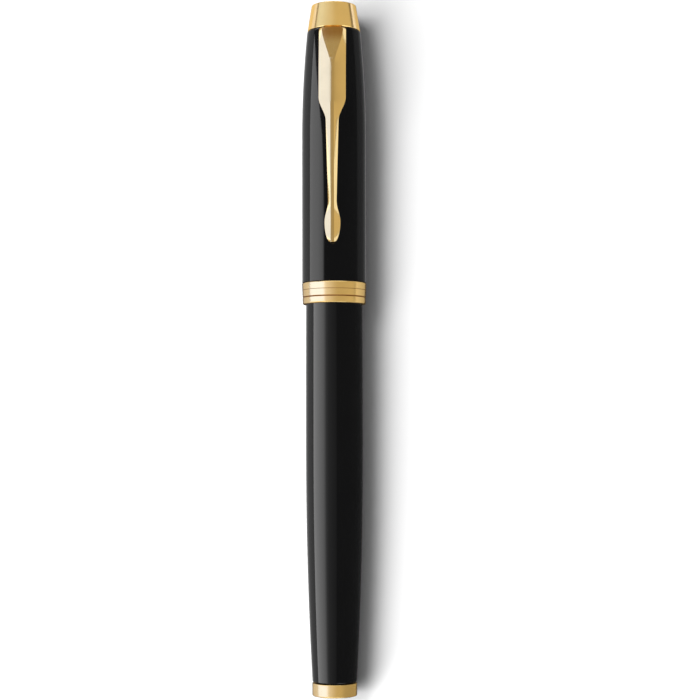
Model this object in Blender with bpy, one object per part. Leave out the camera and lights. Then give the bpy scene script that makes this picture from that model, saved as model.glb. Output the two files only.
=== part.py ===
"""Rollerball pen with a pull-off cap, a screw-on barrel and a refill that can be replaced.

Every piece is modelled upright about the pen's axis, with the tail at height 0 and the clip on
the -Y side. The whole pen is then laid on its back, clip up, on the plane z = 0. Units are metres.
"""

import math

import bmesh
import bpy
from mathutils import Vector

# Facets of the round pieces
SHELL_SIDES = 28
INNER_SIDES = 24
TIP_SIDES = 16
THREAD_SIDES = 18
ROUND_STEPS = 2
TAPER_STEPS = 6
BORE_STEPS = 2
SOCKET_STEPS = 5
BALL_SUBDIVISIONS = 2
SPRING_POINTS_PER_TURN = 10
MERGE_DISTANCE = 1e-7
ROUNDING_LIMIT_SHARE = 0.45
SHARP_ANGLE = math.radians(35)

# Clearances
PRESS_GAP = 0.00010
SEAT_GAP = 0.00010
RUN_GAP = 0.00015
BALL_GAP = 0.00004

# Refill, a metal tube of ink fibre with a plastic holder and a ball point
TUBE_RADIUS = 0.00305
TUBE_WALL = 0.00025
TUBE_LENGTH = 0.0817
END_PLUG_RADIUS = 0.0026
END_PLUG_LENGTH = 0.0030
END_PLUG_INSERT = 0.0035
VENT_RADIUS = 0.0005
HOLDER_RADIUS = 0.0021
HOLDER_LENGTH = 0.0148
HOLDER_INSERT = 0.0080
WICK_RADIUS = 0.0005
TIP_RADIUS = 0.00115
TIP_INSERT = 0.0040
TIP_TUBE_LENGTH = 0.0077
TIP_CONE_LENGTH = 0.0024
TIP_RIM_WALL = 0.00016
INK_CHANNEL_RADIUS = 0.00020
BALL_RADIUS = 0.00035
BALL_EXPOSED = 0.00015

# Grip section, which holds the refill and screws into the barrel
SECTION_TAIL_WALL = 0.00055
THREAD_DEPTH = 0.00035
THREAD_PITCH = 0.0008
THREAD_TURNS = 6
THREAD_LEAD = 0.0015
THREAD_RUNOUT = 0.0022
THREAD_FADE_TURNS = 0.25
THREAD_START_SHARE = 0.2
THREAD_BURIED = 0.00015
RIDGE_ROOT_WIDTH = 0.00034
RIDGE_CREST_WIDTH = 0.00016
COLLAR_LENGTH = 0.0012
GRIP_STEP = 0.00040
GRIP_LENGTH = 0.0310
GRIP_WAIST = 0.00025
GRIP_FRONT_WALL = 0.00135
NOSE_BORE_LENGTH = 0.0156
NOSE_SPIGOT_WALL = 0.00065
NOSE_SPIGOT_LENGTH = 0.0015
NOSE_RING_LENGTH = 0.0030
NOSE_RING_LIP = 0.0008
SNAP_BEAD_HEIGHT = 0.00015
SNAP_BEAD_WIDTH = 0.0010
SNAP_BEAD_OFFSET = 0.0026

# Barrel and its tail
INSERT_WALL = 0.00055
INSERT_EXTRA = 0.0005
BARREL_WALL = 0.00068
BARREL_SWELL = 0.00007
BARREL_TAIL_DROP = 0.00117
BARREL_TAPER_LENGTH = 0.0451
BARREL_EDGE_ROUND = 0.00035
TAIL_SEAM = 0.0003
TAIL_CAP_LENGTH = 0.0026
TAIL_CAP_PROUD = 0.00004
TAIL_EDGE_ROUND = 0.00045
TAIL_STUD_RADIUS = 0.0014
TAIL_STUD_LENGTH = 0.0022
TAIL_PLUG_LENGTH = 0.0034
SPRING_PILOT_HEIGHT = 0.0010
SPRING_LENGTH = 0.0052
SPRING_COIL_RADIUS = 0.0020
SPRING_WIRE_RADIUS = 0.00025
SPRING_TURNS = 5

# Cap
BAND_WALL = 0.00066
BAND_PROUD = 0.00004
BAND_TAPER = 0.00016
BAND_LENGTH = 0.0042
BAND_OVERLAP = 0.0020
BAND_UPPER_GROOVE = 0.00120
BAND_LOWER_GROOVE = 0.00275
BAND_GROOVE_WIDTH = 0.00020
BAND_GROOVE_DEPTH = 0.00012
BAND_EDGE_ROUND = 0.00030
CAP_WALL = 0.00045
CAP_TAPER_LENGTH = 0.0216
CAP_TAPER_DROP = 0.00107
CAP_SHOULDER_ROUND = 0.0004
CAP_RIM_WALL = 0.00081
CAP_RIM_DEPTH = 0.0016
LINER_WALL = 0.00065
LINER_LOWER_LENGTH = 0.0330
LINER_SHOULDER_LENGTH = 0.0020
LINER_UPPER_STEP = 0.00085
LINER_END_WALL = 0.0012
LINER_BOSS_RADIUS = 0.0032
LINER_BOSS_LENGTH = 0.00415
SNAP_RIB_WIDTH = 0.0008
TIP_ROOM = 0.0050
CROWN_HEIGHT = 0.0051
CROWN_PROUD = 0.00033
CROWN_TAPER = 0.00080
CROWN_EDGE_ROUND = 0.00045
CROWN_LIP_ROUND = 0.00015
CROWN_SPIGOT_LENGTH = 0.0004
CROWN_WALL = 0.0008
CROWN_BOSS_WALL = 0.0009
SCREW_RADIUS = 0.0010
SCREW_HEAD_RADIUS = 0.0018
SCREW_HEAD_HEIGHT = 0.0012
SCREW_ENGAGEMENT = 0.0028
SCREW_SLOT_WIDTH = 0.0005
SCREW_SLOT_DEPTH = 0.0005

# Clip
CLIP_RING_THICKNESS = 0.0007
CLIP_TAB_WIDTH = 0.0044
CLIP_LENGTH = 0.04215
CLIP_BLADE_WIDTH = 0.0053
CLIP_BLADE_LENGTH = 0.0140
CLIP_SHOULDER_LENGTH = 0.0045
CLIP_STEM_WIDTH = 0.0025
CLIP_STEM_END_WIDTH = 0.00166
CLIP_FOOT_WIDTH = 0.0031
CLIP_FOOT_LENGTH = 0.0080
CLIP_FOOT_TIP_WIDTH = 0.0006
FOOT_WIDEST_SHARE = 0.5
CLIP_THICKNESS = 0.0010
CLIP_EDGE_THICKNESS = 0.0005
CLIP_SPINE_WIDTH = 0.0007
CLIP_FACE_LENGTH = 0.0080
CLIP_FACE_SHARE = 0.8
CLIP_CORNER_ROUND = 0.0006
CLIP_GAP = 0.0010
CLIP_FOOT_GAP = 0.0003
CLIP_TIP_GAP = 0.0007
CLIP_RISE_LENGTH = 0.0100
CLIP_STRETCH_STEPS = 4
CLIP_FOOT_STEPS = 8

# Heights that follow, from the tail to the writing end
PLUG_BOTTOM = TAIL_CAP_LENGTH + SEAT_GAP
PLUG_TOP = PLUG_BOTTOM + TAIL_PLUG_LENGTH
BARREL_END = TAIL_CAP_LENGTH + TAIL_SEAM
SPRING_BOTTOM = PLUG_TOP + SEAT_GAP
REFILL_END = SPRING_BOTTOM + SPRING_LENGTH + SEAT_GAP
TUBE_END = REFILL_END + END_PLUG_LENGTH + SEAT_GAP
TUBE_FRONT = TUBE_END + TUBE_LENGTH
REFILL_SEAT = TUBE_FRONT + SEAT_GAP
GRIP_FRONT = REFILL_SEAT + NOSE_BORE_LENGTH
COLLAR_FRONT = GRIP_FRONT - GRIP_LENGTH
COLLAR_BACK = COLLAR_FRONT - COLLAR_LENGTH
BARREL_FRONT = COLLAR_BACK - SEAT_GAP
SECTION_TAIL_LENGTH = THREAD_LEAD + THREAD_TURNS * THREAD_PITCH + THREAD_RUNOUT
SECTION_BACK = BARREL_FRONT - SECTION_TAIL_LENGTH
INSERT_BACK = SECTION_BACK - INSERT_EXTRA
SNAP_BEAD_HEIGHT_ABOVE_TAIL = COLLAR_FRONT + SNAP_BEAD_OFFSET
HOLDER_FRONT = REFILL_SEAT + HOLDER_LENGTH
TIP_SHOULDER = HOLDER_FRONT + TIP_TUBE_LENGTH
TIP_RIM = TIP_SHOULDER + TIP_CONE_LENGTH
BALL_TOP = TIP_RIM + BALL_EXPOSED
BALL_CENTRE = BALL_TOP - BALL_RADIUS

# Heights that follow, along the cap
LINER_MOUTH = BARREL_FRONT + SEAT_GAP
LINER_END = BALL_TOP + TIP_ROOM
BOSS_TOP = LINER_END + LINER_BOSS_LENGTH
RING_BOTTOM = BOSS_TOP + SEAT_GAP
RING_TOP = RING_BOTTOM + CLIP_RING_THICKNESS
SPIGOT_BOTTOM = RING_TOP + SEAT_GAP
CROWN_BOTTOM = SPIGOT_BOTTOM + CROWN_SPIGOT_LENGTH
CAP_TOP = CROWN_BOTTOM - SEAT_GAP
PEN_LENGTH = CROWN_BOTTOM + CROWN_HEIGHT
BAND_BOTTOM = BARREL_FRONT - BAND_OVERLAP
BAND_TOP = BAND_BOTTOM + BAND_LENGTH
CAP_MOUTH = BAND_TOP + SEAT_GAP

# Radii that follow, from the refill outwards
TUBE_BORE = TUBE_RADIUS - TUBE_WALL
SECTION_BORE = TUBE_RADIUS + RUN_GAP
THREAD_CORE = SECTION_BORE + SECTION_TAIL_WALL
THREAD_CREST = THREAD_CORE + THREAD_DEPTH
INSERT_BORE = THREAD_CREST + RUN_GAP
INSERT_CREST = THREAD_CORE + RUN_GAP
INSERT_RADIUS = INSERT_BORE + INSERT_WALL
BARREL_RADIUS = INSERT_RADIUS + PRESS_GAP + BARREL_WALL
BARREL_TAIL_RADIUS = BARREL_RADIUS - BARREL_TAIL_DROP
TAIL_CAP_RADIUS = BARREL_TAIL_RADIUS + TAIL_CAP_PROUD
TAIL_PLUG_RADIUS = BARREL_TAIL_RADIUS - BARREL_WALL - PRESS_GAP
BAND_BORE = BARREL_RADIUS + RUN_GAP
BAND_RADIUS = BAND_BORE + BAND_WALL
CAP_RADIUS = BAND_RADIUS - BAND_PROUD
LINER_RADIUS = CAP_RADIUS - CAP_WALL - PRESS_GAP
LINER_BORE = LINER_RADIUS - LINER_WALL
LINER_UPPER_BORE = LINER_BORE - LINER_UPPER_STEP
COLLAR_RADIUS = LINER_BORE - RUN_GAP
GRIP_RADIUS = COLLAR_RADIUS - GRIP_STEP
SNAP_BEAD_RADIUS = GRIP_RADIUS + SNAP_BEAD_HEIGHT
NOSE_BORE = HOLDER_RADIUS + RUN_GAP
GRIP_FRONT_RADIUS = NOSE_BORE + GRIP_FRONT_WALL
NOSE_SPIGOT_RADIUS = NOSE_BORE + NOSE_SPIGOT_WALL
TIP_HOLE = TIP_RADIUS + RUN_GAP
WICK_BORE = WICK_RADIUS + PRESS_GAP
CAP_TOP_RADIUS = CAP_RADIUS - CAP_TAPER_DROP
CAP_RIM_BORE = CAP_TOP_RADIUS - CAP_RIM_WALL
CLIP_RING_RADIUS = CAP_RIM_BORE - PRESS_GAP
CROWN_RADIUS = CAP_RIM_BORE + CAP_WALL + CROWN_PROUD
SCREW_BORE = SCREW_RADIUS + PRESS_GAP


def material(name, colour, roughness, metallic):
    made = bpy.data.materials.new(name)
    made.use_nodes = True
    shader = made.node_tree.nodes["Principled BSDF"]
    shader.inputs["Base Color"].default_value = (*colour, 1.0)
    shader.inputs["Roughness"].default_value = roughness
    shader.inputs["Metallic"].default_value = metallic
    return made


def frame(name, parent, location=(0.0, 0.0, 0.0)):
    """An empty that carries the pieces of one moving body, on that body's axis."""
    empty = bpy.data.objects.new(name, None)
    empty.parent = parent
    empty.location = location
    bpy.context.scene.collection.objects.link(empty)
    return empty


def piece(name, builder, finish, parent):
    """One named object from a finished bmesh, smooth but for its sharp edges."""
    bmesh.ops.recalc_face_normals(builder, faces=builder.faces)
    mesh = bpy.data.meshes.new(name)
    builder.to_mesh(mesh)
    builder.free()
    mesh.shade_smooth()
    mesh.set_sharp_from_angle(angle=SHARP_ANGLE)
    if finish:
        mesh.materials.append(finish)
    made = bpy.data.objects.new(name, mesh)
    made.parent = parent
    bpy.context.scene.collection.objects.link(made)
    return made


def combine(target, tool, operation):
    """A Boolean of target with a helper that is itself left out of the part."""
    modifier = target.modifiers.new(tool.name, "BOOLEAN")
    modifier.operation = operation
    modifier.object = tool
    tool.hide_render = True
    tool.display_type = "WIRE"


def rounded(corners):
    """An outline of (radius, height) points from (radius, height, rounding) corners.

    A rounding is limited to what its two sides can hold.
    """
    points = []
    for index, (radius, height, rounding) in enumerate(corners):
        corner = Vector((radius, height))
        if not rounding:
            points.append(corner)
            continue
        before = Vector(corners[index - 1][:2]) - corner
        after = Vector(corners[(index + 1) % len(corners)][:2]) - corner
        half_angle = before.angle(after) / 2
        shorter_side = min(before.length, after.length)
        reach = min(rounding / math.tan(half_angle), shorter_side * ROUNDING_LIMIT_SHARE)
        bisector = (before.normalized() + after.normalized()).normalized()
        centre = corner + bisector * (reach / math.cos(half_angle))
        first = corner + before.normalized() * reach - centre
        last = corner + after.normalized() * reach - centre
        turn = first.angle_signed(last)
        for step in range(ROUND_STEPS + 1):
            angle = -turn * step / ROUND_STEPS
            spoke = Vector((
                first.x * math.cos(angle) - first.y * math.sin(angle),
                first.x * math.sin(angle) + first.y * math.cos(angle),
            ))
            points.append(centre + spoke)
    return points


def turned(name, outline, sides, finish, parent):
    """A solid of revolution about the pen's axis, from a closed (radius, height) outline.

    The outline's radii reach the middles of the flats, and a flat faces each of -X, +X, -Y and +Y.
    """
    builder = bmesh.new()
    slant = math.tan(math.pi / sides)
    verts = [builder.verts.new((radius, radius * slant, height)) for radius, height in outline]
    pairs = list(zip(verts, verts[1:]))
    if outline[0][0] > 0 or outline[-1][0] > 0:
        pairs.append((verts[-1], verts[0]))
    edges = [builder.edges.new(pair) for pair in pairs]
    bmesh.ops.spin(
        builder, geom=verts + edges, cent=(0, 0, 0), axis=(0, 0, 1), angle=math.tau, steps=sides
    )
    bmesh.ops.remove_doubles(builder, verts=builder.verts, dist=MERGE_DISTANCE)
    return piece(name, builder, finish, parent)


def box(name, low, high, parent):
    """A plain block used to cut or extend another piece."""
    builder = bmesh.new()
    bmesh.ops.create_cube(builder, size=1.0)
    low, high = Vector(low), Vector(high)
    bmesh.ops.scale(builder, vec=high - low, verts=builder.verts)
    bmesh.ops.translate(builder, vec=(low + high) / 2, verts=builder.verts)
    return piece(name, builder, None, parent)


def lofted(name, rings, finish, parent):
    """A closed solid through rings of points, each ring with the same number of points."""
    builder = bmesh.new()
    loops = [[builder.verts.new(point) for point in ring] for ring in rings]
    for low, high in zip(loops, loops[1:]):
        for index in range(len(low)):
            following = (index + 1) % len(low)
            builder.faces.new((low[index], low[following], high[following], high[index]))
    builder.faces.new(loops[0])
    builder.faces.new(loops[-1])
    return piece(name, builder, finish, parent)


def helical_ridge(name, buried_radius, crest_radius, start, parent):
    """One thread ridge, a right-handed helix that fades into the wall at both ends."""
    steps = round(THREAD_TURNS * THREAD_SIDES)
    rings = []
    for step in range(steps + 1):
        turn = step / THREAD_SIDES
        fade = min(1.0, turn / THREAD_FADE_TURNS, (THREAD_TURNS - turn) / THREAD_FADE_TURNS)
        rise_share = THREAD_START_SHARE + (1 - THREAD_START_SHARE) * fade
        crest = buried_radius + (crest_radius - buried_radius) * rise_share
        height = start + THREAD_PITCH * turn
        profile = (
            (buried_radius, -RIDGE_ROOT_WIDTH / 2),
            (crest, -RIDGE_CREST_WIDTH / 2),
            (crest, RIDGE_CREST_WIDTH / 2),
            (buried_radius, RIDGE_ROOT_WIDTH / 2),
        )
        across, along = math.cos(math.tau * turn), math.sin(math.tau * turn)
        rings.append([(r * across, r * along, height + rise) for r, rise in profile])
    return lofted(name, rings, None, parent)


def blend(value):
    """Smooth step from 0 to 1."""
    value = max(0.0, min(1.0, value))
    return value * value * (3 - 2 * value)


def spaced(start, end, steps):
    return [start + (end - start) * step / steps for step in range(steps + 1)]


def barrel_radius(height):
    """The barrel's outer radius: nearly straight in front, curving in towards the tail."""
    belly_radius = BARREL_RADIUS + BARREL_SWELL
    belly = BARREL_END + BARREL_TAPER_LENGTH
    if height < belly:
        share = (belly - height) / BARREL_TAPER_LENGTH
        return belly_radius - (belly_radius - BARREL_TAIL_RADIUS) * share**2
    share = (height - belly) / (BARREL_FRONT - belly)
    return belly_radius - BARREL_SWELL * share**2


def cap_radius(height):
    """The cap's outer radius: straight above the band, curving in towards the crown."""
    share = max(0.0, (height - CAP_TOP + CAP_TAPER_LENGTH) / CAP_TAPER_LENGTH)
    return CAP_RADIUS - CAP_TAPER_DROP * share**2


def make_tail_cap(finish, parent):
    stud_top = TAIL_CAP_LENGTH + TAIL_STUD_LENGTH
    corners = [
        (0, stud_top, 0),
        (TAIL_STUD_RADIUS, stud_top, 0),
        (TAIL_STUD_RADIUS, TAIL_CAP_LENGTH, 0),
        (TAIL_CAP_RADIUS, TAIL_CAP_LENGTH, TAIL_EDGE_ROUND / 3),
        (TAIL_CAP_RADIUS, 0, TAIL_EDGE_ROUND),
        (0, 0, 0),
    ]
    return turned("tail_cap", rounded(corners), SHELL_SIDES, finish, parent)


def make_tail_plug(finish, parent):
    stud_hole = TAIL_STUD_RADIUS + PRESS_GAP
    hole_top = TAIL_CAP_LENGTH + TAIL_STUD_LENGTH + SEAT_GAP
    pilot = SPRING_COIL_RADIUS - SPRING_WIRE_RADIUS - RUN_GAP
    corners = [
        (0, PLUG_TOP + SPRING_PILOT_HEIGHT, 0),
        (pilot, PLUG_TOP + SPRING_PILOT_HEIGHT, 0),
        (pilot, PLUG_TOP, 0),
        (TAIL_PLUG_RADIUS, PLUG_TOP, 0),
        (TAIL_PLUG_RADIUS, PLUG_BOTTOM, 0),
        (stud_hole, PLUG_BOTTOM, 0),
        (stud_hole, hole_top, 0),
        (0, hole_top, 0),
    ]
    return turned("tail_plug", rounded(corners), INNER_SIDES, finish, parent)


def make_barrel_shell(finish, parent):
    belly = BARREL_END + BARREL_TAPER_LENGTH
    heights = spaced(BARREL_FRONT, belly, BORE_STEPS) + spaced(belly, BARREL_END, TAPER_STEPS)[1:]
    outer = [(barrel_radius(height), height, 0) for height in heights]
    bore_heights = spaced(BARREL_END, belly, BORE_STEPS) + [BARREL_FRONT]
    inner = [(barrel_radius(height) - BARREL_WALL, height, 0) for height in bore_heights]
    outer[0] = (*outer[0][:2], BARREL_EDGE_ROUND)
    outer[-1] = (*outer[-1][:2], BARREL_EDGE_ROUND)
    return turned("barrel_shell", rounded(outer + inner), SHELL_SIDES, finish, parent)


def make_thread_insert(finish, parent):
    corners = [
        (INSERT_RADIUS, BARREL_FRONT, 0),
        (INSERT_RADIUS, INSERT_BACK, 0),
        (INSERT_BORE, INSERT_BACK, 0),
        (INSERT_BORE, BARREL_FRONT, 0),
    ]
    insert = turned("thread_insert", rounded(corners), INNER_SIDES, finish, parent)
    start = SECTION_BACK + THREAD_LEAD + THREAD_PITCH / 2
    buried = INSERT_BORE + THREAD_BURIED
    combine(insert, helical_ridge("insert_ridge", buried, INSERT_CREST, start, parent), "UNION")
    return insert


def make_spring(finish, parent):
    """A compression spring between the tail plug and the refill, as one wire."""
    low = SPRING_BOTTOM + SPRING_WIRE_RADIUS
    rise = SPRING_LENGTH - 2 * SPRING_WIRE_RADIUS
    steps = round(SPRING_TURNS * SPRING_POINTS_PER_TURN)
    curve = bpy.data.curves.new("refill_spring", "CURVE")
    curve.dimensions = "3D"
    curve.bevel_depth = SPRING_WIRE_RADIUS
    curve.bevel_resolution = 1
    curve.use_fill_caps = True
    wire = curve.splines.new("POLY")
    wire.points.add(steps)
    for step, point in enumerate(wire.points):
        angle = math.tau * step / SPRING_POINTS_PER_TURN
        across, along = math.cos(angle), math.sin(angle)
        height = low + rise * step / steps
        point.co = (SPRING_COIL_RADIUS * across, SPRING_COIL_RADIUS * along, height, 1.0)
    curve.materials.append(finish)
    spring = bpy.data.objects.new("refill_spring", curve)
    spring.parent = parent
    bpy.context.scene.collection.objects.link(spring)
    turn_gap = min(
        (first.co - second.co).length
        for first, second in zip(wire.points, wire.points[SPRING_POINTS_PER_TURN:])
    )
    print(f"refill_spring: least gap between turns {(turn_gap - 2 * SPRING_WIRE_RADIUS) * 1000:.2f} mm")
    return spring


def make_end_plug(finish, parent):
    insert_radius = TUBE_BORE - PRESS_GAP
    insert_top = TUBE_END + END_PLUG_INSERT
    corners = [
        (insert_radius, insert_top, 0),
        (insert_radius, TUBE_END - SEAT_GAP, 0),
        (END_PLUG_RADIUS, TUBE_END - SEAT_GAP, 0),
        (END_PLUG_RADIUS, REFILL_END, 0),
        (VENT_RADIUS, REFILL_END, 0),
        (VENT_RADIUS, insert_top, 0),
    ]
    return turned("refill_end_plug", rounded(corners), INNER_SIDES, finish, parent)


def make_refill_tube(finish, parent):
    corners = [
        (TUBE_RADIUS, TUBE_FRONT, 0),
        (TUBE_RADIUS, TUBE_END, 0),
        (TUBE_BORE, TUBE_END, 0),
        (TUBE_BORE, TUBE_FRONT, 0),
    ]
    return turned("refill_tube", rounded(corners), INNER_SIDES, finish, parent)


def make_ink_reservoir(finish, parent):
    radius = TUBE_BORE - PRESS_GAP
    bottom = TUBE_END + END_PLUG_INSERT + SEAT_GAP
    top = TUBE_FRONT - HOLDER_INSERT - SEAT_GAP
    corners = [(0, top, 0), (radius, top, 0), (radius, bottom, 0), (0, bottom, 0)]
    return turned("ink_reservoir", rounded(corners), INNER_SIDES, finish, parent)


def make_tip_holder(finish, parent):
    """The plastic nose of the refill: a plug in the tube, a neck and a seat for the metal tip."""
    tip_seat = HOLDER_FRONT - TIP_INSERT - SEAT_GAP
    tip_bore = TIP_RADIUS + PRESS_GAP
    plug_radius = TUBE_BORE - PRESS_GAP
    corners = [
        (HOLDER_RADIUS, HOLDER_FRONT, 0),
        (HOLDER_RADIUS, TUBE_FRONT, 0),
        (plug_radius, TUBE_FRONT, 0),
        (plug_radius, TUBE_FRONT - HOLDER_INSERT, 0),
        (WICK_BORE, TUBE_FRONT - HOLDER_INSERT, 0),
        (WICK_BORE, tip_seat, 0),
        (tip_bore, tip_seat, 0),
        (tip_bore, HOLDER_FRONT, 0),
    ]
    return turned("tip_holder", rounded(corners), INNER_SIDES, finish, parent)


def make_feed_wick(finish, parent):
    bottom = TUBE_FRONT - HOLDER_INSERT
    top = TIP_SHOULDER - SEAT_GAP
    corners = [(0, top, 0), (WICK_RADIUS, top, 0), (WICK_RADIUS, bottom, 0), (0, bottom, 0)]
    return turned("feed_wick", rounded(corners), TIP_SIDES, finish, parent)


def make_tip_socket(finish, parent):
    """The metal point: a tube that narrows to a rim which holds the ball."""
    socket_radius = BALL_RADIUS + BALL_GAP
    rim_angle = math.acos((TIP_RIM - BALL_CENTRE) / socket_radius)
    channel_angle = math.pi - math.asin(INK_CHANNEL_RADIUS / socket_radius)
    socket = [
        (socket_radius * math.sin(angle), BALL_CENTRE + socket_radius * math.cos(angle))
        for angle in spaced(channel_angle, rim_angle, SOCKET_STEPS)
    ]
    rim_radius = socket[-1][0] + TIP_RIM_WALL
    bottom = HOLDER_FRONT - TIP_INSERT
    outline = [
        (rim_radius, TIP_RIM),
        (TIP_RADIUS, TIP_SHOULDER),
        (TIP_RADIUS, bottom),
        (WICK_BORE, bottom),
        (WICK_BORE, TIP_SHOULDER),
        (INK_CHANNEL_RADIUS, TIP_SHOULDER),
        *socket,
    ]
    return turned("tip_socket", outline, TIP_SIDES, finish, parent)


def make_writing_ball(finish, parent):
    builder = bmesh.new()
    bmesh.ops.create_icosphere(builder, subdivisions=round(BALL_SUBDIVISIONS), radius=BALL_RADIUS)
    return piece("writing_ball", builder, finish, parent)


def grip_radius(height):
    """The grip's outer radius, a taper drawn in a little at its waist."""
    share = (height - COLLAR_FRONT) / GRIP_LENGTH
    straight = GRIP_RADIUS + (GRIP_FRONT_RADIUS - GRIP_RADIUS) * share
    return straight - GRIP_WAIST * math.sin(math.pi * blend(share)) ** 2


def make_grip_section(finish, parent):
    bead_low = SNAP_BEAD_HEIGHT_ABOVE_TAIL
    bead_high = bead_low + SNAP_BEAD_WIDTH
    spigot_top = GRIP_FRONT + NOSE_SPIGOT_LENGTH
    grip = [(grip_radius(height), height, 0) for height in spaced(GRIP_FRONT, bead_high, TAPER_STEPS)]
    corners = [
        (NOSE_SPIGOT_RADIUS, spigot_top, 0),
        (NOSE_SPIGOT_RADIUS, GRIP_FRONT, 0),
        *grip,
        (SNAP_BEAD_RADIUS, (bead_low + bead_high) / 2, 0),
        (grip_radius(bead_low), bead_low, 0),
        (GRIP_RADIUS, COLLAR_FRONT, 0),
        (COLLAR_RADIUS, COLLAR_FRONT, 0),
        (COLLAR_RADIUS, COLLAR_BACK, 0),
        (THREAD_CORE, COLLAR_BACK, 0),
        (THREAD_CORE, SECTION_BACK, 0),
        (SECTION_BORE, SECTION_BACK, 0),
        (SECTION_BORE, REFILL_SEAT, 0),
        (NOSE_BORE, REFILL_SEAT, 0),
        (NOSE_BORE, spigot_top, 0),
    ]
    section = turned("grip_section", rounded(corners), INNER_SIDES, finish, parent)
    start = SECTION_BACK + THREAD_LEAD
    buried = THREAD_CORE - THREAD_BURIED
    combine(section, helical_ridge("section_ridge", buried, THREAD_CREST, start, parent), "UNION")
    return section


def make_nose_ring(finish, parent):
    bottom = GRIP_FRONT + SEAT_GAP
    top = bottom + NOSE_RING_LENGTH
    bore = NOSE_SPIGOT_RADIUS + PRESS_GAP
    spigot_room = GRIP_FRONT + NOSE_SPIGOT_LENGTH + SEAT_GAP
    front_radius = TIP_HOLE + NOSE_RING_LIP
    corners = [
        (front_radius, top, 0),
        (GRIP_FRONT_RADIUS, bottom + NOSE_SPIGOT_LENGTH / 2, 0),
        (GRIP_FRONT_RADIUS, bottom, 0),
        (bore, bottom, 0),
        (bore, spigot_room, 0),
        (TIP_HOLE, spigot_room, 0),
        (TIP_HOLE, top, 0),
    ]
    return turned("nose_ring", rounded(corners), INNER_SIDES, finish, parent)


def make_cap_band(finish, parent):
    """The ring round the cap's mouth, with two engraved lines and a rounded lower lip."""

    def band_radius(below_top):
        return BAND_RADIUS - BAND_TAPER * below_top / BAND_LENGTH

    ledge = LINER_MOUTH - SEAT_GAP
    liner_bore = LINER_RADIUS + PRESS_GAP
    corners = [(band_radius(0), BAND_TOP, BAND_EDGE_ROUND / 2)]
    for groove in (BAND_UPPER_GROOVE, BAND_LOWER_GROOVE):
        upper, lower = groove - BAND_GROOVE_WIDTH / 2, groove + BAND_GROOVE_WIDTH / 2
        corners += [
            (band_radius(upper), BAND_TOP - upper, 0),
            (band_radius(groove) - BAND_GROOVE_DEPTH, BAND_TOP - groove, 0),
            (band_radius(lower), BAND_TOP - lower, 0),
        ]
    corners += [
        (band_radius(BAND_LENGTH), BAND_BOTTOM, BAND_EDGE_ROUND),
        (BAND_BORE, BAND_BOTTOM, 0),
        (BAND_BORE, ledge, 0),
        (liner_bore, ledge, 0),
        (liner_bore, BAND_TOP, 0),
    ]
    return turned("cap_band", rounded(corners), SHELL_SIDES, finish, parent)


def make_cap_shell(finish, parent):
    taper_start = CAP_TOP - CAP_TAPER_LENGTH
    rim_bottom = CAP_TOP - CAP_RIM_DEPTH
    outer = [(cap_radius(height), height, 0) for height in spaced(CAP_TOP, taper_start, TAPER_STEPS)]
    outer[0] = (*outer[0][:2], CAP_SHOULDER_ROUND)
    inner = [
        (cap_radius(height) - CAP_WALL, height, 0)
        for height in spaced(taper_start, rim_bottom, BORE_STEPS)
    ]
    corners = [
        *outer,
        (CAP_RADIUS, CAP_MOUTH, 0),
        (CAP_RADIUS - CAP_WALL, CAP_MOUTH, 0),
        *inner,
        (CAP_RIM_BORE, rim_bottom, 0),
        (CAP_RIM_BORE, CAP_TOP, 0),
    ]
    shell = turned("cap_shell", rounded(corners), SHELL_SIDES, finish, parent)
    half_notch = CLIP_TAB_WIDTH / 2 + RUN_GAP
    notch = box(
        "clip_notch",
        (-half_notch, -2 * CAP_RADIUS, RING_BOTTOM - RUN_GAP),
        (half_notch, -CAP_RIM_BORE / 2, PEN_LENGTH),
        parent,
    )
    combine(shell, notch, "DIFFERENCE")
    return shell


def make_cap_liner(finish, parent):
    """The plastic inner cap: a snap rib at its mouth, a closed end and a boss for the screw."""
    rib = (COLLAR_FRONT + SNAP_BEAD_HEIGHT_ABOVE_TAIL) / 2
    rib_radius = SNAP_BEAD_RADIUS + RUN_GAP
    rib_foot = LINER_BORE - rib_radius + SNAP_RIB_WIDTH / 2
    shoulder = LINER_MOUTH + LINER_LOWER_LENGTH
    upper = shoulder + LINER_SHOULDER_LENGTH
    upper_radius = LINER_UPPER_BORE + LINER_WALL
    end_top = LINER_END + LINER_END_WALL
    head_bore = SCREW_HEAD_RADIUS + PRESS_GAP
    head_top = LINER_END + SCREW_HEAD_HEIGHT + SEAT_GAP
    corners = [
        (LINER_BOSS_RADIUS, BOSS_TOP, 0),
        (LINER_BOSS_RADIUS, end_top, 0),
        (upper_radius, end_top, 0),
        (upper_radius, upper, 0),
        (LINER_RADIUS, shoulder, 0),
        (LINER_RADIUS, LINER_MOUTH, 0),
        (LINER_BORE, LINER_MOUTH, 0),
        (LINER_BORE, rib - rib_foot, 0),
        (rib_radius, rib - SNAP_RIB_WIDTH / 2, 0),
        (rib_radius, rib + SNAP_RIB_WIDTH / 2, 0),
        (LINER_BORE, rib + rib_foot, 0),
        (LINER_BORE, shoulder, 0),
        (LINER_UPPER_BORE, upper, 0),
        (LINER_UPPER_BORE, LINER_END, 0),
        (head_bore, LINER_END, 0),
        (head_bore, head_top, 0),
        (SCREW_BORE, head_top, 0),
        (SCREW_BORE, BOSS_TOP, 0),
    ]
    return turned("cap_liner", rounded(corners), INNER_SIDES, finish, parent)


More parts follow.
